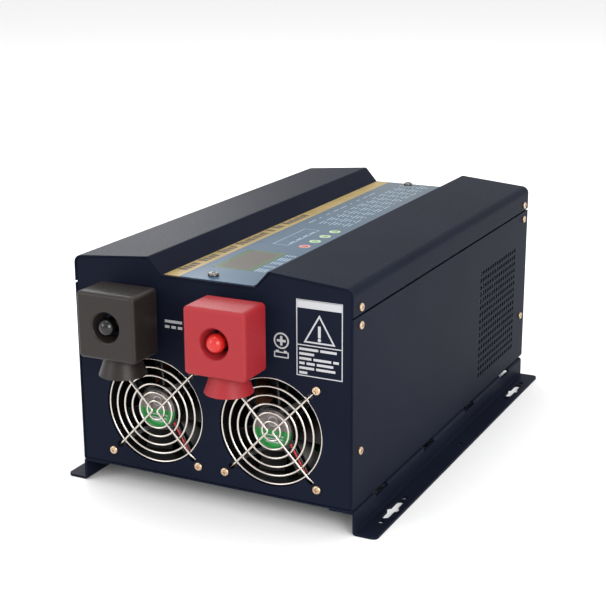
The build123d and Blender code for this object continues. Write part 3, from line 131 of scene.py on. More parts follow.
bpy.ops.object.select_all(action="DESELECT")
bpy.ops.mesh.primitive_plane_add(size=bench_size, location=(0, 0, 0))
bench = bpy.context.object
bench.name = "bench"
bench.data.materials.append(bench_paper)


def soft_light(name, place, target, size, power):
    """Square area light that faces a point."""
    light = bpy.data.lights.new(name, "AREA")
    light.shape = "SQUARE"
    light.size = size
    light.energy = power
    lamp = bpy.data.objects.new(name, light)
    bpy.context.scene.collection.objects.link(lamp)
    aim = (Vector(target) - Vector(place)).to_track_quat("-Z", "Y")
    lamp.matrix_world = Matrix.Translation(place) @ aim.to_matrix().to_4x4()


soft_light("overhead_panel", (-0.3, 0.5, 2.6), (0, 0, 0), size=2.8, power=36)
soft_light("front_panel", (-1.8, -2.2, 1.3), (0, 0, 0.1), size=1.4, power=22)
soft_light("right_panel", (1.7, -1.5, 0.9), (0, -0.1, 0.05), size=1.2, power=30)
soft_light("rear_strip", (-1.15, 1.25, 0.75), (-0.05, -0.1, 0.17), size=0.5, power=6)

room_brightness = 0.98
sky = bpy.data.worlds.new("room")
sky.use_nodes = True
sky.node_tree.nodes["Background"].inputs["Color"].default_value = (1, 1, 1, 1)
sky.node_tree.nodes["Background"].inputs["Strength"].default_value = room_brightness
bpy.context.scene.world = sky


# ---------------------------------------------------------------- sheet-steel case
# Tray, cover, end panels, rails and the terminal cover are folded mild steel, 1 to 2 mm
# thick, in a dark blue-grey polyester powder coat baked to a fine, dull orange peel.
def dress(material, *nodes):
    """Puts one finish on CAD nodes, in every material slot that they have."""
    for name in nodes:
        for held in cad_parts[name].material_slots:
            held.material = material


orange_peel = 1.1
colour_drift = 71.4
powder_coat, shader, place = start_material(
    "dark_blue_powder_coat", "#131724", 0.46, Specular_IOR_Level=0.028,
)
grain = add_node(
    powder_coat, "TexNoise", {"Vector": place},
    {"Scale": 1 / (orange_peel * MM), "Detail": 3.0, "Roughness": 0.6},
)
broad = add_node(
    powder_coat, "TexNoise", {"Vector": place}, {"Scale": 1 / (colour_drift * MM), "Detail": 2.0},
)
coat_colour = add_node(
    powder_coat, "Mix", {0: broad.outputs["Fac"]},
    {mix_from: linear("#10131f"), mix_to: linear("#171c2a")}, data_type="RGBA",
)
coat_gloss = add_node(
    powder_coat, "MapRange", {"Value": grain.outputs["Fac"]},
    {"From Min": 0.3, "From Max": 0.7, "To Min": 0.42, "To Max": 0.54},
)
peel = add_node(
    powder_coat, "Bump", {"Height": grain.outputs["Fac"]},
    {"Strength": 0.22, "Distance": 0.05 * MM},
)
join_to(powder_coat, shader, "Base Color", coat_colour.outputs[mixed])
join_to(powder_coat, shader, "Roughness", coat_gloss.outputs["Result"])
join_to(powder_coat, shader, "Normal", peel.outputs["Normal"])
dress(
    powder_coat, "lower_tray", "top_cover", "dc_end_panel", "ac_end_panel",
    "left_mounting_rail", "right_mounting_rail", "ac_terminal_cover",
)

# ---------------------------------------------------------------- screws and rivets
# Pressed steel screws with a yellow zinc passivation, which leaves a warm, slightly pink
# silver that clouds from piece to piece. The rivets are bare drawn aluminium.
yellow_cloud = 3.85
black_cloud = 3.125
scuff_size = 1.43
yellow_zinc, shader, place = start_material("yellow_passivated_zinc", "#cdb294", 0.34, 1.0)
clouds = add_node(
    yellow_zinc, "TexNoise", {"Vector": place}, {"Scale": 1 / (yellow_cloud * MM), "Detail": 3.0},
)
zinc_colour = add_node(
    yellow_zinc, "Mix", {0: clouds.outputs["Fac"]},
    {mix_from: linear("#b89a78"), mix_to: linear("#e2cdb4")}, data_type="RGBA",
)
zinc_gloss = add_node(
    yellow_zinc, "MapRange", {"Value": clouds.outputs["Fac"]}, {"To Min": 0.22, "To Max": 0.42},
)
join_to(yellow_zinc, shader, "Base Color", zinc_colour.outputs[mixed])
join_to(yellow_zinc, shader, "Roughness", zinc_gloss.outputs["Result"])
dress(
    yellow_zinc, "case_screws", "fan_screws", "ac_cover_screws", "terminal_block_screws",
    "stud_nuts", "transformer_bolt",
)

black_zinc, shader, place = start_material("blackened_zinc", "#5d5a58", 0.3, 1.0)
clouds = add_node(
    black_zinc, "TexNoise", {"Vector": place}, {"Scale": 1 / (black_cloud * MM), "Detail": 3.0},
)
zinc_colour = add_node(
    black_zinc, "Mix", {0: clouds.outputs["Fac"]},
    {mix_from: linear("#3f3d3c"), mix_to: linear("#8b8784")}, data_type="RGBA",
)
join_to(black_zinc, shader, "Base Color", zinc_colour.outputs[mixed])
dress(black_zinc, "cover_screws")

drawn_aluminium, shader, place = start_material("drawn_aluminium", "#b9bbbd", 0.36, 1.0)
scuffs = add_node(
    drawn_aluminium, "TexNoise", {"Vector": place}, {"Scale": 1 / (scuff_size * MM), "Detail": 2.0},
)
scuff_bump = add_node(
    drawn_aluminium, "Bump", {"Height": scuffs.outputs["Fac"]},
    {"Strength": 0.2, "Distance": 0.03 * MM},
)
join_to(drawn_aluminium, shader, "Normal", scuff_bump.outputs["Normal"])
dress(drawn_aluminium, "rail_rivets", "board_spacers")

# ---------------------------------------------------------------- control overlay
# A reverse-printed polycarbonate sheet stuck along the valley: blue-grey, with a gold band
# down its left edge. Its hard-coated face is satin, with a very fine velvet texture.
overlay_low, overlay_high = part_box("control_label")
front_y = case_low.y
gold_edge_x = -23.0
satin_cloud = 18.2
velvet_grain = 0.625
printed_overlay, shader, place = start_material(
    "printed_polycarbonate", "#455868", 0.38, Specular_IOR_Level=0.12,
)
axes = add_node(printed_overlay, "SeparateXYZ", {"Vector": place})
gold_side = add_node(
    printed_overlay, "Math", {0: axes.outputs["X"]}, {1: gold_edge_x * MM}, operation="LESS_THAN",
)
along = add_node(
    printed_overlay, "MapRange", {"Value": axes.outputs["Y"]},
    {"From Min": overlay_low.y, "From Max": overlay_high.y},
)
blue = add_node(
    printed_overlay, "Mix", {0: along.outputs["Result"]},
    {mix_from: linear("#3a546b"), mix_to: linear("#4f5c66")}, data_type="RGBA",
)
satin = add_node(
    printed_overlay, "TexNoise", {"Vector": place},
    {"Scale": 1 / (satin_cloud * MM), "Detail": 5.0},
)
gold = add_node(
    printed_overlay, "Mix", {0: satin.outputs["Fac"]},
    {mix_from: linear("#85713c"), mix_to: linear("#a89260")}, data_type="RGBA",
)
ink = add_node(
    printed_overlay, "Mix",
    {0: gold_side.outputs[0], mix_from: blue.outputs[mixed], mix_to: gold.outputs[mixed]},
    data_type="RGBA",
)
velvet = add_node(
    printed_overlay, "TexNoise", {"Vector": place}, {"Scale": 1 / (velvet_grain * MM)},
)
velvet_bump = add_node(
    printed_overlay, "Bump", {"Height": velvet.outputs["Fac"]},
    {"Strength": 0.08, "Distance": 0.02 * MM},
)
join_to(printed_overlay, shader, "Base Color", ink.outputs[mixed])
join_to(printed_overlay, shader, "Normal", velvet_bump.outputs["Normal"])
dress(printed_overlay, "control_label")

ink_height = 0.05 * MM
ink_gap = 0.01 * MM


def join_parts(name, parts, push, material, body):
    """Joins flat shapes into one printed piece, gives the ink its height and lets it ride."""
    bpy.ops.object.select_all(action="DESELECT")
    for part in parts:
        part.select_set(True)
    bpy.context.view_layer.objects.active = parts[0]
    bpy.ops.object.join()
    bpy.ops.object.transform_apply(location=True, rotation=True, scale=True)
    bpy.ops.object.mode_set(mode="EDIT")
    bpy.ops.mesh.select_all(action="SELECT")
    bpy.ops.mesh.extrude_region_move(TRANSFORM_OT_translate={"value": push})
    bpy.ops.mesh.select_all(action="SELECT")
    bpy.ops.mesh.normals_make_consistent(inside=False)
    bpy.ops.object.mode_set(mode="OBJECT")
    piece = bpy.context.object
    piece.name = name
    piece.data.materials.clear()
    piece.data.materials.append(material)
    for face in piece.data.polygons:
        face.material_index = 0
    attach(piece, body)
    return piece


def bar(place, width, height, turn=(0, 0, 0), outline=0.0):
    """A printed rectangle, or its outline, centred on a place; sizes in metres."""
    bpy.ops.object.select_all(action="DESELECT")
    bpy.ops.mesh.primitive_plane_add(size=1, location=place, rotation=turn)
    made = bpy.context.object
    made.scale = (width, height, 1)
    bpy.ops.object.transform_apply(location=False, rotation=False, scale=True)
    return cut_middle(made, outline)


def disc(place, radius, turn=(0, 0, 0), outline=0.0, corners=48):
    """A printed disc, ring or regular polygon."""
    bpy.ops.object.select_all(action="DESELECT")
    bpy.ops.mesh.primitive_circle_add(
        vertices=corners, radius=radius, fill_type="NGON", location=place, rotation=turn,
    )
    return cut_middle(bpy.context.object, outline)


def cut_middle(made, outline):
    """Insets a flat face and deletes its middle, where an outline is asked for."""
    if outline:
        bpy.ops.object.mode_set(mode="EDIT")
        bpy.ops.mesh.select_all(action="SELECT")
        bpy.ops.mesh.inset(thickness=outline)
        bpy.ops.mesh.delete(type="FACE")
        bpy.ops.object.mode_set(mode="OBJECT")
    return made


def printing_ink(name, colour):
    """Screen ink: flat and slightly uneven in how well it covers."""
    material, shader, place = start_material(name, colour, 0.5)
    mesh_opening = 1.11
    cover = add_node(
        material, "TexNoise", {"Vector": place}, {"Scale": 1 / (mesh_opening * MM), "Detail": 2.0},
    )
    gloss = add_node(
        material, "MapRange", {"Value": cover.outputs["Fac"]}, {"To Min": 0.42, "To Max": 0.6},
    )
    join_to(material, shader, "Roughness", gloss.outputs["Result"])
    return material


def on_overlay(x, y):
    """A place on the overlay, in millimetres from the case's middle and its battery end."""
    return (x * MM, front_y + y * MM, overlay_high.z + ink_gap)


# Plain blocks stand where the title is printed, one for each character of its seven words,
# with the first of each word taller. They spell nothing.
title_ink = printing_ink("dark_brown_screen_ink", "#2f2a22")
title_first = 17.0
title_pitch = 5.45
title_words = (4, 4, 4, 8, 1, 2, 7)
title_foot_x = -26.8
block_width = 3.7
first_height = 7.4
low_height = 5.2
extra_height = 0.9
parts = []
column = 0
for letters in title_words:
    for i in range(letters):
        tall = first_height if i == 0 else low_height + extra_height * ((i * 7 + letters) % 2)
        place = on_overlay(title_foot_x - tall / 2, title_first + (column + 0.5) * title_pitch)
        parts.append(bar(place, tall * MM, block_width * MM))
        column += 1
    column += 1
join_parts("title_blocks", parts, (0, 0, ink_height), title_ink, "chassis")

# The lighter print: a framed legend with captions beside it, columns of short bars beside
# the display, and rows of bars down the rear half where the ratings table is.
pale_ink = printing_ink("pale_blue_screen_ink", "#8ea3b3")
legend_x = -2.1
legend_y = 139.5
legend_width = 13.2
legend_length = 55.0
legend_line = 0.55
caption_x = 2.6
caption_first = 122.0
caption_pitch = 11.5
caption_width = 1.1
caption_length = 8.0
key_x = 17.8
key_row = 2.3
key_first = 39.5
key_pitch = 11.0
key_width = 1.0
key_longest = 8.5
key_step = 2.4
heading_x = -15.0
table_x = -9.5
table_row = 3.1
table_first = 193.5
table_pitch = 15.0
table_width = 0.9
table_longest = 12.6
table_step = 3.1
parts = [bar(
    on_overlay(legend_x, legend_y), legend_width * MM, legend_length * MM,
    outline=legend_line * MM,
)]
for i in range(4):
    place = on_overlay(caption_x, caption_first + caption_pitch * i)
    parts.append(bar(place, caption_width * MM, caption_length * MM))
for row in range(4):
    for i in range(5):
        length = key_longest - key_step * ((row * 3 + i * 2) % 3)
        place = on_overlay(key_x + key_row * row, key_first + key_pitch * i)
        parts.append(bar(place, key_width * MM, length * MM))
for row in range(10):
    row_x = heading_x if row == 0 else table_x + table_row * row
    reach = 9 if row == 0 else 12
    for i in range(reach):
        length = table_longest - table_step * ((row * 5 + i * 3) % 4)
        place = on_overlay(row_x, table_first + table_pitch * i)
        parts.append(bar(place, table_width * MM, length * MM))
join_parts("legend_print", parts, (0, 0, ink_height), pale_ink, "chassis")

shadow_ink = printing_ink("slate_screen_ink", "#3d4f61")
mark_x = -4.2
mark_pitch = 18.5
mark_width = 3.4
mark_length = 4.4
parts = [
    bar(on_overlay(mark_x, legend_y + mark_pitch * i), mark_width * MM, mark_length * MM)
    for i in (-1, 0, 1)
]
join_parts("legend_marks", parts, (0, 0, ink_height), shadow_ink, "chassis")

# Each lamp has a printed ring round its hole, pink for the fault lamp and pale green for
# the others.
lamp_low, lamp_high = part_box("green_indicators")
red_low, red_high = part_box("red_indicator")
lamp_x = (red_low.x + red_high.x) / 2
red_y = (red_low.y + red_high.y) / 2
middle_green = (lamp_low.y + lamp_high.y) / 2 - red_y
ring_radius = 4.5
ring_width = 1.9
pink_ink = printing_ink("pink_screen_ink", "#bd8580")
green_ink = printing_ink("pale_green_screen_ink", "#a9bf94")
overlay_top = overlay_high.z + ink_gap
ring = disc((lamp_x, red_y, overlay_top), ring_radius * MM, outline=ring_width * MM)
join_parts("fault_lamp_ring", [ring], (0, 0, ink_height), pink_ink, "chassis")
parts = [
    disc(
        (lamp_x, red_y + middle_green * share, overlay_top), ring_radius * MM,
        outline=ring_width * MM,
    )
    for share in (0.5, 1.0, 1.5)
]
join_parts("lamp_rings", parts, (0, 0, ink_height), green_ink, "chassis")


def moulded_lens(name, colour):
    """Diffused acrylic: glossy, and a little of the light goes into it."""
    glow_depth = 2 * MM
    cloud_size = 1.25
    material, shader, place = start_material(
        name, colour, 0.16, Subsurface_Weight=0.3, Subsurface_Radius=(glow_depth,) * 3,
    )
    cloud = add_node(material, "TexNoise", {"Vector": place}, {"Scale": 1 / (cloud_size * MM)})
    gloss = add_node(
        material, "MapRange", {"Value": cloud.outputs["Fac"]}, {"To Min": 0.1, "To Max": 0.22},
    )
    join_to(material, shader, "Roughness", gloss.outputs["Result"])
    return material


dress(moulded_lens("red_acrylic_lens", "#b4605c"), "red_indicator")
dress(moulded_lens("green_acrylic_lens", "#7f9a78"), "green_indicators")

# ---------------------------------------------------------------- display window
# A hard-coated acrylic pane, printed grey-green on its back round the clear part, over the
# grey, unpowered liquid crystal. It is the glossiest part of the panel.
window_low, window_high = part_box("lcd_window")
screen_margin = 4.2
cell_cloud = 33.3
display_pane, shader, place = start_material(
    "printed_acrylic_pane", "#52514a", 0.2, Specular_IOR_Level=0.08,
)
middle = (window_low + window_high) / 2
centred = add_node(
    display_pane, "Mapping", {"Vector": place}, {"Location": (-middle.x, -middle.y, 0)},
)
axes = add_node(display_pane, "SeparateXYZ", {"Vector": centred.outputs[0]})
inside = []
for axis, half in (("X", window_high.x - middle.x), ("Y", window_high.y - middle.y)):
    size = add_node(display_pane, "Math", {0: axes.outputs[axis]}, operation="ABSOLUTE")
    inside.append(add_node(
        display_pane, "Math", {0: size.outputs[0]}, {1: half - screen_margin * MM},
        operation="LESS_THAN",
    ))
clear_part = add_node(
    display_pane, "Math", {0: inside[0].outputs[0], 1: inside[1].outputs[0]}, operation="MULTIPLY",
)
crystal = add_node(
    display_pane, "TexNoise", {"Vector": place}, {"Scale": 1 / (cell_cloud * MM), "Detail": 1.0},
)
crystal_colour = add_node(
    display_pane, "Mix", {0: crystal.outputs["Fac"]},
    {mix_from: linear("#4b4641"), mix_to: linear("#58524c")}, data_type="RGBA",
)
pane_colour = add_node(
    display_pane, "Mix", {0: clear_part.outputs[0], mix_to: crystal_colour.outputs[mixed]},
    {mix_from: linear("#465c42")}, data_type="RGBA",
)
join_to(display_pane, shader, "Base Color", pane_colour.outputs[mixed])
dress(display_pane, "lcd_window")

crystal_glass, shader, place = start_material("liquid_crystal_glass", "#5c584e", 0.2)
cell = add_node(crystal_glass, "TexNoise", {"Vector": place}, {"Scale": 1 / (cell_cloud * MM)})
cell_colour = add_node(
    crystal_glass, "Mix", {0: cell.outputs["Fac"]},
    {mix_from: linear("#545046"), mix_to: linear("#645f55")}, data_type="RGBA",
)
join_to(crystal_glass, shader, "Base Color", cell_colour.outputs[mixed])
dress(crystal_glass, "lcd_module")

# ---------------------------------------------------------------- battery terminals
# Turned brass studs in phenolic bushes, with zinc nuts. Over each lies a ball-ended nylon
# cap and a soft PVC boot, dip moulded, with a dull skin and rounded edges.
# A Wave texture turns through 20 radians in each unit, so a band is pi / 10 of its scale.
turning_pitch = 0.75
tarnish_size = 11.1
turned_brass, shader, place = start_material("tinned_brass", "#cbb98a", 0.28, 1.0)
turning = add_node(
    turned_brass, "TexWave", {"Vector": place},
    {"Scale": pi / 10 / (turning_pitch * MM), "Distortion": 0.4}, bands_direction="Y",
)
turning_bump = add_node(
    turned_brass, "Bump", {"Height": turning.outputs["Fac"]},
    {"Strength": 0.4, "Distance": 0.15 * MM},
)
join_to(turned_brass, shader, "Normal", turning_bump.outputs["Normal"])
dress(turned_brass, "negative_stud", "positive_stud")

rolled_copper, shader, place = start_material("rolled_copper_bar", "#7a4a34", 0.42, 1.0)
tarnish = add_node(
    rolled_copper, "TexNoise", {"Vector": place}, {"Scale": 1 / (tarnish_size * MM), "Detail": 5.0},
)
copper_colour = add_node(
    rolled_copper, "Mix", {0: tarnish.outputs["Fac"]},
    {mix_from: linear("#4a2c20"), mix_to: linear("#8a5a42")}, data_type="RGBA",
)
join_to(rolled_copper, shader, "Base Color", copper_colour.outputs[mixed])
dress(rolled_copper, "dc_busbars")


def moulded_plastic(name, colour, low_gloss, high_gloss, grain_size, depth, **more):
    """Moulded plastic or rubber: one colour, with a tooled skin of a grain in millimetres."""
    material, shader, place = start_material(name, colour, high_gloss, **more)
    skin = add_node(
        material, "TexNoise", {"Vector": place}, {"Scale": 1 / (grain_size * MM), "Detail": 4.0},
    )
    gloss = add_node(
        material, "MapRange", {"Value": skin.outputs["Fac"]},
        {"From Min": 0.3, "From Max": 0.7, "To Min": low_gloss, "To Max": high_gloss},
    )
    bump = add_node(
        material, "Bump", {"Height": skin.outputs["Fac"]},
        {"Strength": 0.3, "Distance": depth * MM},
    )
    join_to(material, shader, "Roughness", gloss.outputs["Result"])
    join_to(material, shader, "Normal", bump.outputs["Normal"])
    return material


phenolic = moulded_plastic("black_phenolic", "#151416", 0.35, 0.5, 1.5, 0.02)
dress(
    phenolic, "stud_insulators", "ac_terminal_block", "breaker_bodies", "selector_switch",
    "remote_socket",
)

black_boot = moulded_plastic(
    "black_soft_vinyl", "#211c1a", 0.34, 0.48, 1.2, 0.04, Specular_IOR_Level=0.3,
)
dress(black_boot, "negative_boot", "cable_grommets", "transformer_pads")

red_boot = moulded_plastic(
    "red_soft_vinyl", "#932027", 0.42, 0.56, 1.2, 0.04, Specular_IOR_Level=0.3,
    Subsurface_Weight=0.12, Subsurface_Radius=(6 * MM, 2 * MM, 1.5 * MM),
)
dress(red_boot, "positive_boot")

red_cap = moulded_plastic(
    "red_nylon", "#bb201b", 0.2, 0.3, 2.0, 0.01,
    Subsurface_Weight=0.2, Subsurface_Radius=(4 * MM, 1 * MM, 1 * MM),
)
dress(red_cap, "positive_cap_nut")

black_cap = moulded_plastic("black_nylon", "#070707", 0.12, 0.2, 2.0, 0.01)
dress(black_cap, "negative_cap_nut", "power_switch_rocker")

# ---------------------------------------------------------------- fans
# Frames and rotors are black glass-filled PBT straight from the mould. The guards are
# welded steel wire in bright nickel, and a foil label covers each hub.
fan_plastic = moulded_plastic("black_fan_plastic", "#101012", 0.3, 0.42, 3.0, 0.01)
dress(fan_plastic, "left_fan_frame", "right_fan_frame", "left_fan_rotor", "right_fan_rotor")

draw_mark = 2.0
bright_nickel, shader, place = start_material("bright_nickel_wire", "#cfc8c1", 0.2, 1.0)
draw_marks = add_node(
    bright_nickel, "TexNoise", {"Vector": place}, {"Scale": 1 / (draw_mark * MM), "Detail": 2.0},
)
nickel_gloss = add_node(
    bright_nickel, "MapRange", {"Value": draw_marks.outputs["Fac"]},
    {"To Min": 0.14, "To Max": 0.3},
)
join_to(bright_nickel, shader, "Roughness", nickel_gloss.outputs["Result"])
dress(bright_nickel, "left_fan_guard", "right_fan_guard")

label_low, label_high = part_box("fan_labels")
hub_z = (label_low.z + label_high.z) / 2
hub_radius = (label_high.z - label_low.z) / 2
foil_mottle = 6.25
foil_label, shader, place = start_material("printed_foil_label", "#676260", 0.32, 0.25)
axes = add_node(foil_label, "SeparateXYZ", {"Vector": place})
lower_half = add_node(
    foil_label, "Math", {0: axes.outputs["Z"]}, {1: hub_z}, operation="LESS_THAN",
)
mottle = add_node(
    foil_label, "TexNoise", {"Vector": place}, {"Scale": 1 / (foil_mottle * MM), "Detail": 4.0},
)
silver = add_node(
    foil_label, "Mix", {0: mottle.outputs["Fac"]},
    {mix_from: linear("#3f3937"), mix_to: linear("#8f8682")}, data_type="RGBA",
)
green = add_node(
    foil_label, "Mix", {0: mottle.outputs["Fac"]},
    {mix_from: linear("#176c2e"), mix_to: linear("#2f9a4a")}, data_type="RGBA",
)
foil_colour = add_node(
    foil_label, "Mix",
    {0: lower_half.outputs[0], mix_from: silver.outputs[mixed], mix_to: green.outputs[mixed]},
    data_type="RGBA",
)
join_to(foil_label, shader, "Base Color", foil_colour.outputs[mixed])
dress(foil_label, "fan_labels")

facing_front = (pi / 2, 0, 0)
hub_face = label_low.y - ink_gap
hub_ring_rise = 6.2
hub_ring_radius = 3.6
hub_ring_line = 0.5
hub_line_drop = 4.0
hub_line_pitch = 2.4
hub_line_width = 0.9
hub_line_lengths = (17.0, 15.0, 11.0)
hub_ink_share = 0.3
white_ink = printing_ink("white_screen_ink", "#aeafb2")
parts = []
for hub_x in (label_low.x + hub_radius, label_high.x - hub_radius):
    place = (hub_x, hub_face, hub_z + hub_ring_rise * MM)
    parts.append(disc(place, hub_ring_radius * MM, facing_front, hub_ring_line * MM, 32))
    for row, length in enumerate(hub_line_lengths):
        place = (hub_x, hub_face, hub_z - (hub_line_drop + hub_line_pitch * row) * MM)
        parts.append(bar(place, length * MM, hub_line_width * MM, facing_front))
join_parts(
    "hub_label_print", parts, (0, -hub_ink_share * ink_height, 0), white_ink, "chassis",
)


def wire_sleeve(name, colour):
    """Extruded PVC insulation, smooth and slightly glossy."""
    material, shader, place = start_material(name, colour, 0.32)
    streak_size = 2.5
    streak = add_node(material, "TexNoise", {"Vector": place}, {"Scale": 1 / (streak_size * MM)})
    gloss = add_node(
        material, "MapRange", {"Value": streak.outputs["Fac"]}, {"To Min": 0.26, "To Max": 0.4},
    )
    join_to(material, shader, "Roughness", gloss.outputs["Result"])
    return material


dress(wire_sleeve("red_pvc_sleeve", "#b51f24"), "fan_leads_red")
dress(wire_sleeve("black_pvc_sleeve", "#151515"), "fan_leads_black", "transformer_leads")

# ---------------------------------------------------------------- battery end print
# White screen print on the panel: the direct-current sign, a ringed plus with a battery
# sign under it, and a framed notice with a plain triangle and bars in place of words.
panel_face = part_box("dc_end_panel")[0].y - ink_gap
stud_low, stud_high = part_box("positive_stud")
stud_x = (stud_low.x + stud_high.x) / 2
stud_z = (stud_low.z + stud_high.z) / 2


def on_panel(x, z):
    """A place on the battery end panel, in millimetres from the positive stud."""
    return (stud_x + x * MM, panel_face, stud_z + z * MM)


current_x = -53.2
current_z = -1.6
current_length = 14.0
current_width = 2.0
dash_drop = 4.0
dash_pitch = 5.2
dash_length = 3.6
parts = [bar(on_panel(current_x, current_z), current_length * MM, current_width * MM, facing_front)]
for i in (-1, 0, 1):
    place = on_panel(current_x + dash_pitch * i, current_z - dash_drop)
    parts.append(bar(place, dash_length * MM, current_width * MM, facing_front))

plus_x = 30.8
plus_z = -3.6
plus_ring = 5.7
plus_length = 6.6
plus_width = 1.7
ring_line = 1.1
arm_length = (plus_length - plus_width) / 2
arm_middle = 2.08
battery_drop = 9.8
battery_width = 11.0
battery_height = 4.2
battery_line = 0.8
post_drop = 7.2
post_offset = 3.0
post_width = 2.2
post_height = 1.0
parts.append(disc(on_panel(plus_x, plus_z), plus_ring * MM, facing_front, ring_line * MM))
parts.append(bar(on_panel(plus_x, plus_z), plus_length * MM, plus_width * MM, facing_front))
for side in (-1, 1):
    place = on_panel(plus_x, plus_z + side * arm_middle)
    parts.append(bar(place, plus_width * MM, arm_length * MM, facing_front))
parts.append(bar(
    on_panel(plus_x, plus_z - battery_drop), battery_width * MM, battery_height * MM,
    facing_front, battery_line * MM,
))
for side in (-1, 1):
    place = on_panel(plus_x + side * post_offset, plus_z - post_drop)
    parts.append(bar(place, post_width * MM, post_height * MM, facing_front))

notice_x = 59.0
notice_top = 27.1
notice_width = 33.8
notice_height = 53.0
notice_line = 0.7
head_height = 5.4
head_drop = 3.1
rule_z = -4.2
inside_gap = 0.8
inside_width = notice_width - 2 * inside_gap
triangle_z = 4.4
triangle_radius = 13.4
stroke_z = 6.0
stroke_width = 2.0
stroke_height = 8.0
dot_z = 0.4
dot_radius = 1.2
first_line_z = -7.0
line_pitch = 3.3
line_height = 1.7
line_margin = 2.0
word_gap = 1.5
word_lengths = ((14, 12), (11,), (9, 13, 4), (4, 6, 12), (11, 14), (6,))
parts.append(bar(
    on_panel(notice_x, notice_top - notice_height / 2), notice_width * MM, notice_height * MM,
    facing_front, notice_line * MM,
))
for z, height in ((notice_top - head_drop, head_height), (rule_z, notice_line)):
    parts.append(bar(on_panel(notice_x, z), inside_width * MM, height * MM, facing_front))
place = on_panel(notice_x, triangle_z)
parts.append(disc(place, triangle_radius * MM, facing_front, ring_line * MM, 3))
place = on_panel(notice_x, stroke_z)
parts.append(bar(place, stroke_width * MM, stroke_height * MM, facing_front))
parts.append(disc(on_panel(notice_x, dot_z), dot_radius * MM, facing_front, 0.0, 20))
for row, lengths in enumerate(word_lengths):
    left = notice_x - notice_width / 2 + line_margin
    for length in lengths:
        place = on_panel(left + length / 2, first_line_z - line_pitch * row)
        parts.append(bar(place, length * MM, line_height * MM, facing_front))
        left += length + word_gap
join_parts("battery_end_print", parts, (0, -ink_height, 0), white_ink, "chassis")

# ---------------------------------------------------------------- AC end
# Moulded switchgear in the rear panel: a rocker, a battery-type selector with its pointer
# knob, a modular jack and two push-to-reset breakers with white buttons.
switch_plastic = moulded_plastic("black_switch_plastic", "#161618", 0.28, 0.4, 2.0, 0.02)
dress(switch_plastic, "power_switch_housing", "battery_selector_knob")

white_button = moulded_plastic("white_acetal", "#d8d6cf", 0.22, 0.34, 2.0, 0.01)
dress(white_button, "input_breaker_button", "output_breaker_button")

facing_rear = (-pi / 2, 0, 0)
rear_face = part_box("ac_end_panel")[1].y + ink_gap
knob_low, knob_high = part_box("battery_selector_knob")
knob_x = (knob_low.x + knob_high.x) / 2
knob_z = (knob_low.z + knob_high.z) / 2
switch_low, switch_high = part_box("power_switch_housing")
switch_z = (switch_low.z + switch_high.z) / 2
breaker_low, breaker_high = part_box("breaker_bodies")
jack_low, jack_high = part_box("remote_socket")
jack_x = (jack_low.x + jack_high.x) / 2

positions = 10
tick_ring = 12.0
tick_width = 0.8
tick_length = 2.6
parts = []
for i in range(positions):
    angle = 2 * pi * i / positions
    place = (
        knob_x + sin(angle) * tick_ring * MM, rear_face, knob_z + cos(angle) * tick_ring * MM,
    )
    parts.append(bar(place, tick_width * MM, tick_length * MM, (-pi / 2, angle, 0)))

on_gap = 5.0
on_width = 1.2
on_height = 5.0
off_gap = 5.5
off_radius = 2.6
off_line = 0.8
place = (switch_low.x - on_gap * MM, rear_face, switch_z)
parts.append(bar(place, on_width * MM, on_height * MM, facing_rear))
place = (switch_high.x + off_gap * MM, rear_face, switch_z)
parts.append(disc(place, off_radius * MM, facing_rear, off_line * MM, 32))

breaker_inset = 8.5
name_rise = 13.0
second_rise = 16.4
name_height = 1.8
breaker_name_length = 15.0
second_name_length = 9.0
jack_name_length = 14.0
captions = [(jack_x, name_rise, jack_name_length)]
for x in (breaker_low.x + breaker_inset * MM, breaker_high.x - breaker_inset * MM):
    captions.append((x, name_rise, breaker_name_length))
    captions.append((x, second_rise, second_name_length))
for x, rise, length in captions:
    place = (x, rear_face, knob_z + rise * MM)
    parts.append(bar(place, length * MM, name_height * MM, facing_rear))
join_parts("ac_end_print", parts, (0, ink_height, 0), white_ink, "chassis")

# ---------------------------------------------------------------- transformer
# A toroid wound on silicon-steel strip and wrapped in amber polyester tape, laid on in
# overlapping turns that radiate from the middle. A zinc plate and a rubber pad hold it.
winding_low, winding_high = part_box("transformer_winding")
winding_middle = (winding_low + winding_high) / 2
turns = 96
lap_step = 0.3
tape, shader, place = start_material("amber_polyester_tape", "#c79a3a", 0.3, Coat_Weight=0.4)
centred = add_node(
    tape, "Mapping", {"Vector": place},
    {"Location": (-winding_middle.x, -winding_middle.y, 0)},
)
wraps = add_node(tape, "TexGradient", {"Vector": centred.outputs[0]}, gradient_type="RADIAL")
count = add_node(tape, "Math", {0: wraps.outputs["Fac"]}, {1: turns}, operation="MULTIPLY")
lap = add_node(tape, "Math", {0: count.outputs[0]}, operation="FRACT")
tape_colour = add_node(
    tape, "Mix", {0: lap.outputs[0]},
    {mix_from: linear("#a87a24"), mix_to: linear("#dcb554")}, data_type="RGBA",
)
lap_bump = add_node(
    tape, "Bump", {"Height": lap.outputs[0]}, {"Strength": 0.6, "Distance": lap_step * MM},
)
join_to(tape, shader, "Base Color", tape_colour.outputs[mixed])
join_to(tape, shader, "Normal", lap_bump.outputs["Normal"])
dress(tape, "transformer_winding")

# The strip is 0.3 mm thick, and its layers are drawn coarser, so that they show.
drawn_layer = 1.05
strip_steel, shader, place = start_material("silicon_steel_strip", "#6f7175", 0.4, 1.0)
layers = add_node(
    strip_steel, "TexWave", {"Vector": place}, {"Scale": pi / 10 / (drawn_layer * MM)},
    bands_direction="Z",
)
layer_bump = add_node(
    strip_steel, "Bump", {"Height": layers.outputs["Fac"]},
    {"Strength": 0.4, "Distance": 0.1 * MM},
)
join_to(strip_steel, shader, "Normal", layer_bump.outputs["Normal"])
dress(strip_steel, "transformer_core")

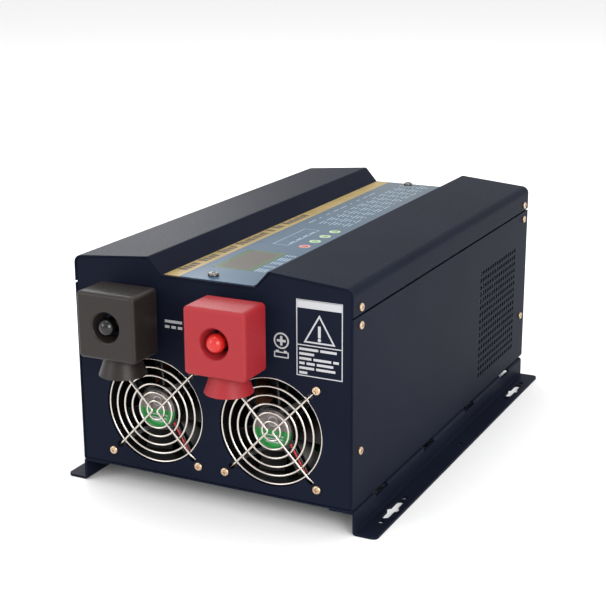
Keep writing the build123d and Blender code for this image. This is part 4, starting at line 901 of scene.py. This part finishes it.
spangle_size = 6.25
clear_zinc, shader, place = start_material("clear_zinc_plate", "#a9acb0", 0.35, 1.0)
spangle = add_node(
    clear_zinc, "TexVoronoi", {"Vector": place}, {"Scale": 1 / (spangle_size * MM)},
)
zinc_gloss = add_node(
    clear_zinc, "MapRange", {"Value": spangle.outputs["Distance"]},
    {"To Min": 0.28, "To Max": 0.45},
)
join_to(clear_zinc, shader, "Roughness", zinc_gloss.outputs["Result"])
dress(clear_zinc, "transformer_clamp_plate")

# ---------------------------------------------------------------- power and control boards
# Green glass-epoxy boards with copper tracks under the solder mask, extruded heatsinks,
# epoxy transistors, sleeved capacitors and blue sealed relays.
track_pitch = 4.17
track_row = 0.25
solder_mask, shader, place = start_material("green_solder_mask", "#1d5a34", 0.3)
tracks = add_node(
    solder_mask, "TexBrick", {"Vector": place},
    {"Scale": track_row / (track_pitch * MM), "Row Height": track_row, "Mortar Size": 0.03,
     "Color1": linear("#1c5733"), "Color2": linear("#216239"), "Mortar": linear("#3a8a55")},
)
track_bump = add_node(
    solder_mask, "Bump", {"Height": tracks.outputs["Fac"]},
    {"Strength": 0.3, "Distance": 0.05 * MM},
)
join_to(solder_mask, shader, "Base Color", tracks.outputs["Color"])
join_to(solder_mask, shader, "Normal", track_bump.outputs["Normal"])
dress(solder_mask, "power_board", "control_board", "display_board")

die_line = 1.11
die_stretch = 0.03
extrusion, shader, place = start_material("extruded_aluminium", "#c0c2c4", 0.38, 1.0)
stretched = add_node(extrusion, "Mapping", {"Vector": place}, {"Scale": (1.0, die_stretch, 1.0)})
die_lines = add_node(
    extrusion, "TexNoise", {"Vector": stretched.outputs[0]},
    {"Scale": 1 / (die_line * MM), "Detail": 3.0},
)
die_bump = add_node(
    extrusion, "Bump", {"Height": die_lines.outputs["Fac"]},
    {"Strength": 0.4, "Distance": 0.05 * MM},
)
join_to(extrusion, shader, "Normal", die_bump.outputs["Normal"])
dress(extrusion, "heatsinks")

epoxy = moulded_plastic("black_moulding_epoxy", "#1a1a1b", 0.45, 0.6, 0.8, 0.02)
dress(epoxy, "power_transistors")

can_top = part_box("capacitors")[1].z
sleeve_lip = 0.6
sleeve, shader, place = start_material("dark_blue_shrink_sleeve", "#1b2540", 0.28)
axes = add_node(sleeve, "SeparateXYZ", {"Vector": place})
cap_end = add_node(
    sleeve, "Math", {0: axes.outputs["Z"]}, {1: can_top - sleeve_lip * MM},
    operation="GREATER_THAN",
)
sleeve_colour = add_node(
    sleeve, "Mix", {0: cap_end.outputs[0]},
    {mix_from: linear("#1b2540"), mix_to: linear("#b8babd")}, data_type="RGBA",
)
join_to(sleeve, shader, "Base Color", sleeve_colour.outputs[mixed])
dress(sleeve, "capacitors")

relay_plastic = moulded_plastic("blue_relay_plastic", "#1f4f9e", 0.3, 0.42, 2.0, 0.01)
dress(relay_plastic, "transfer_relays")
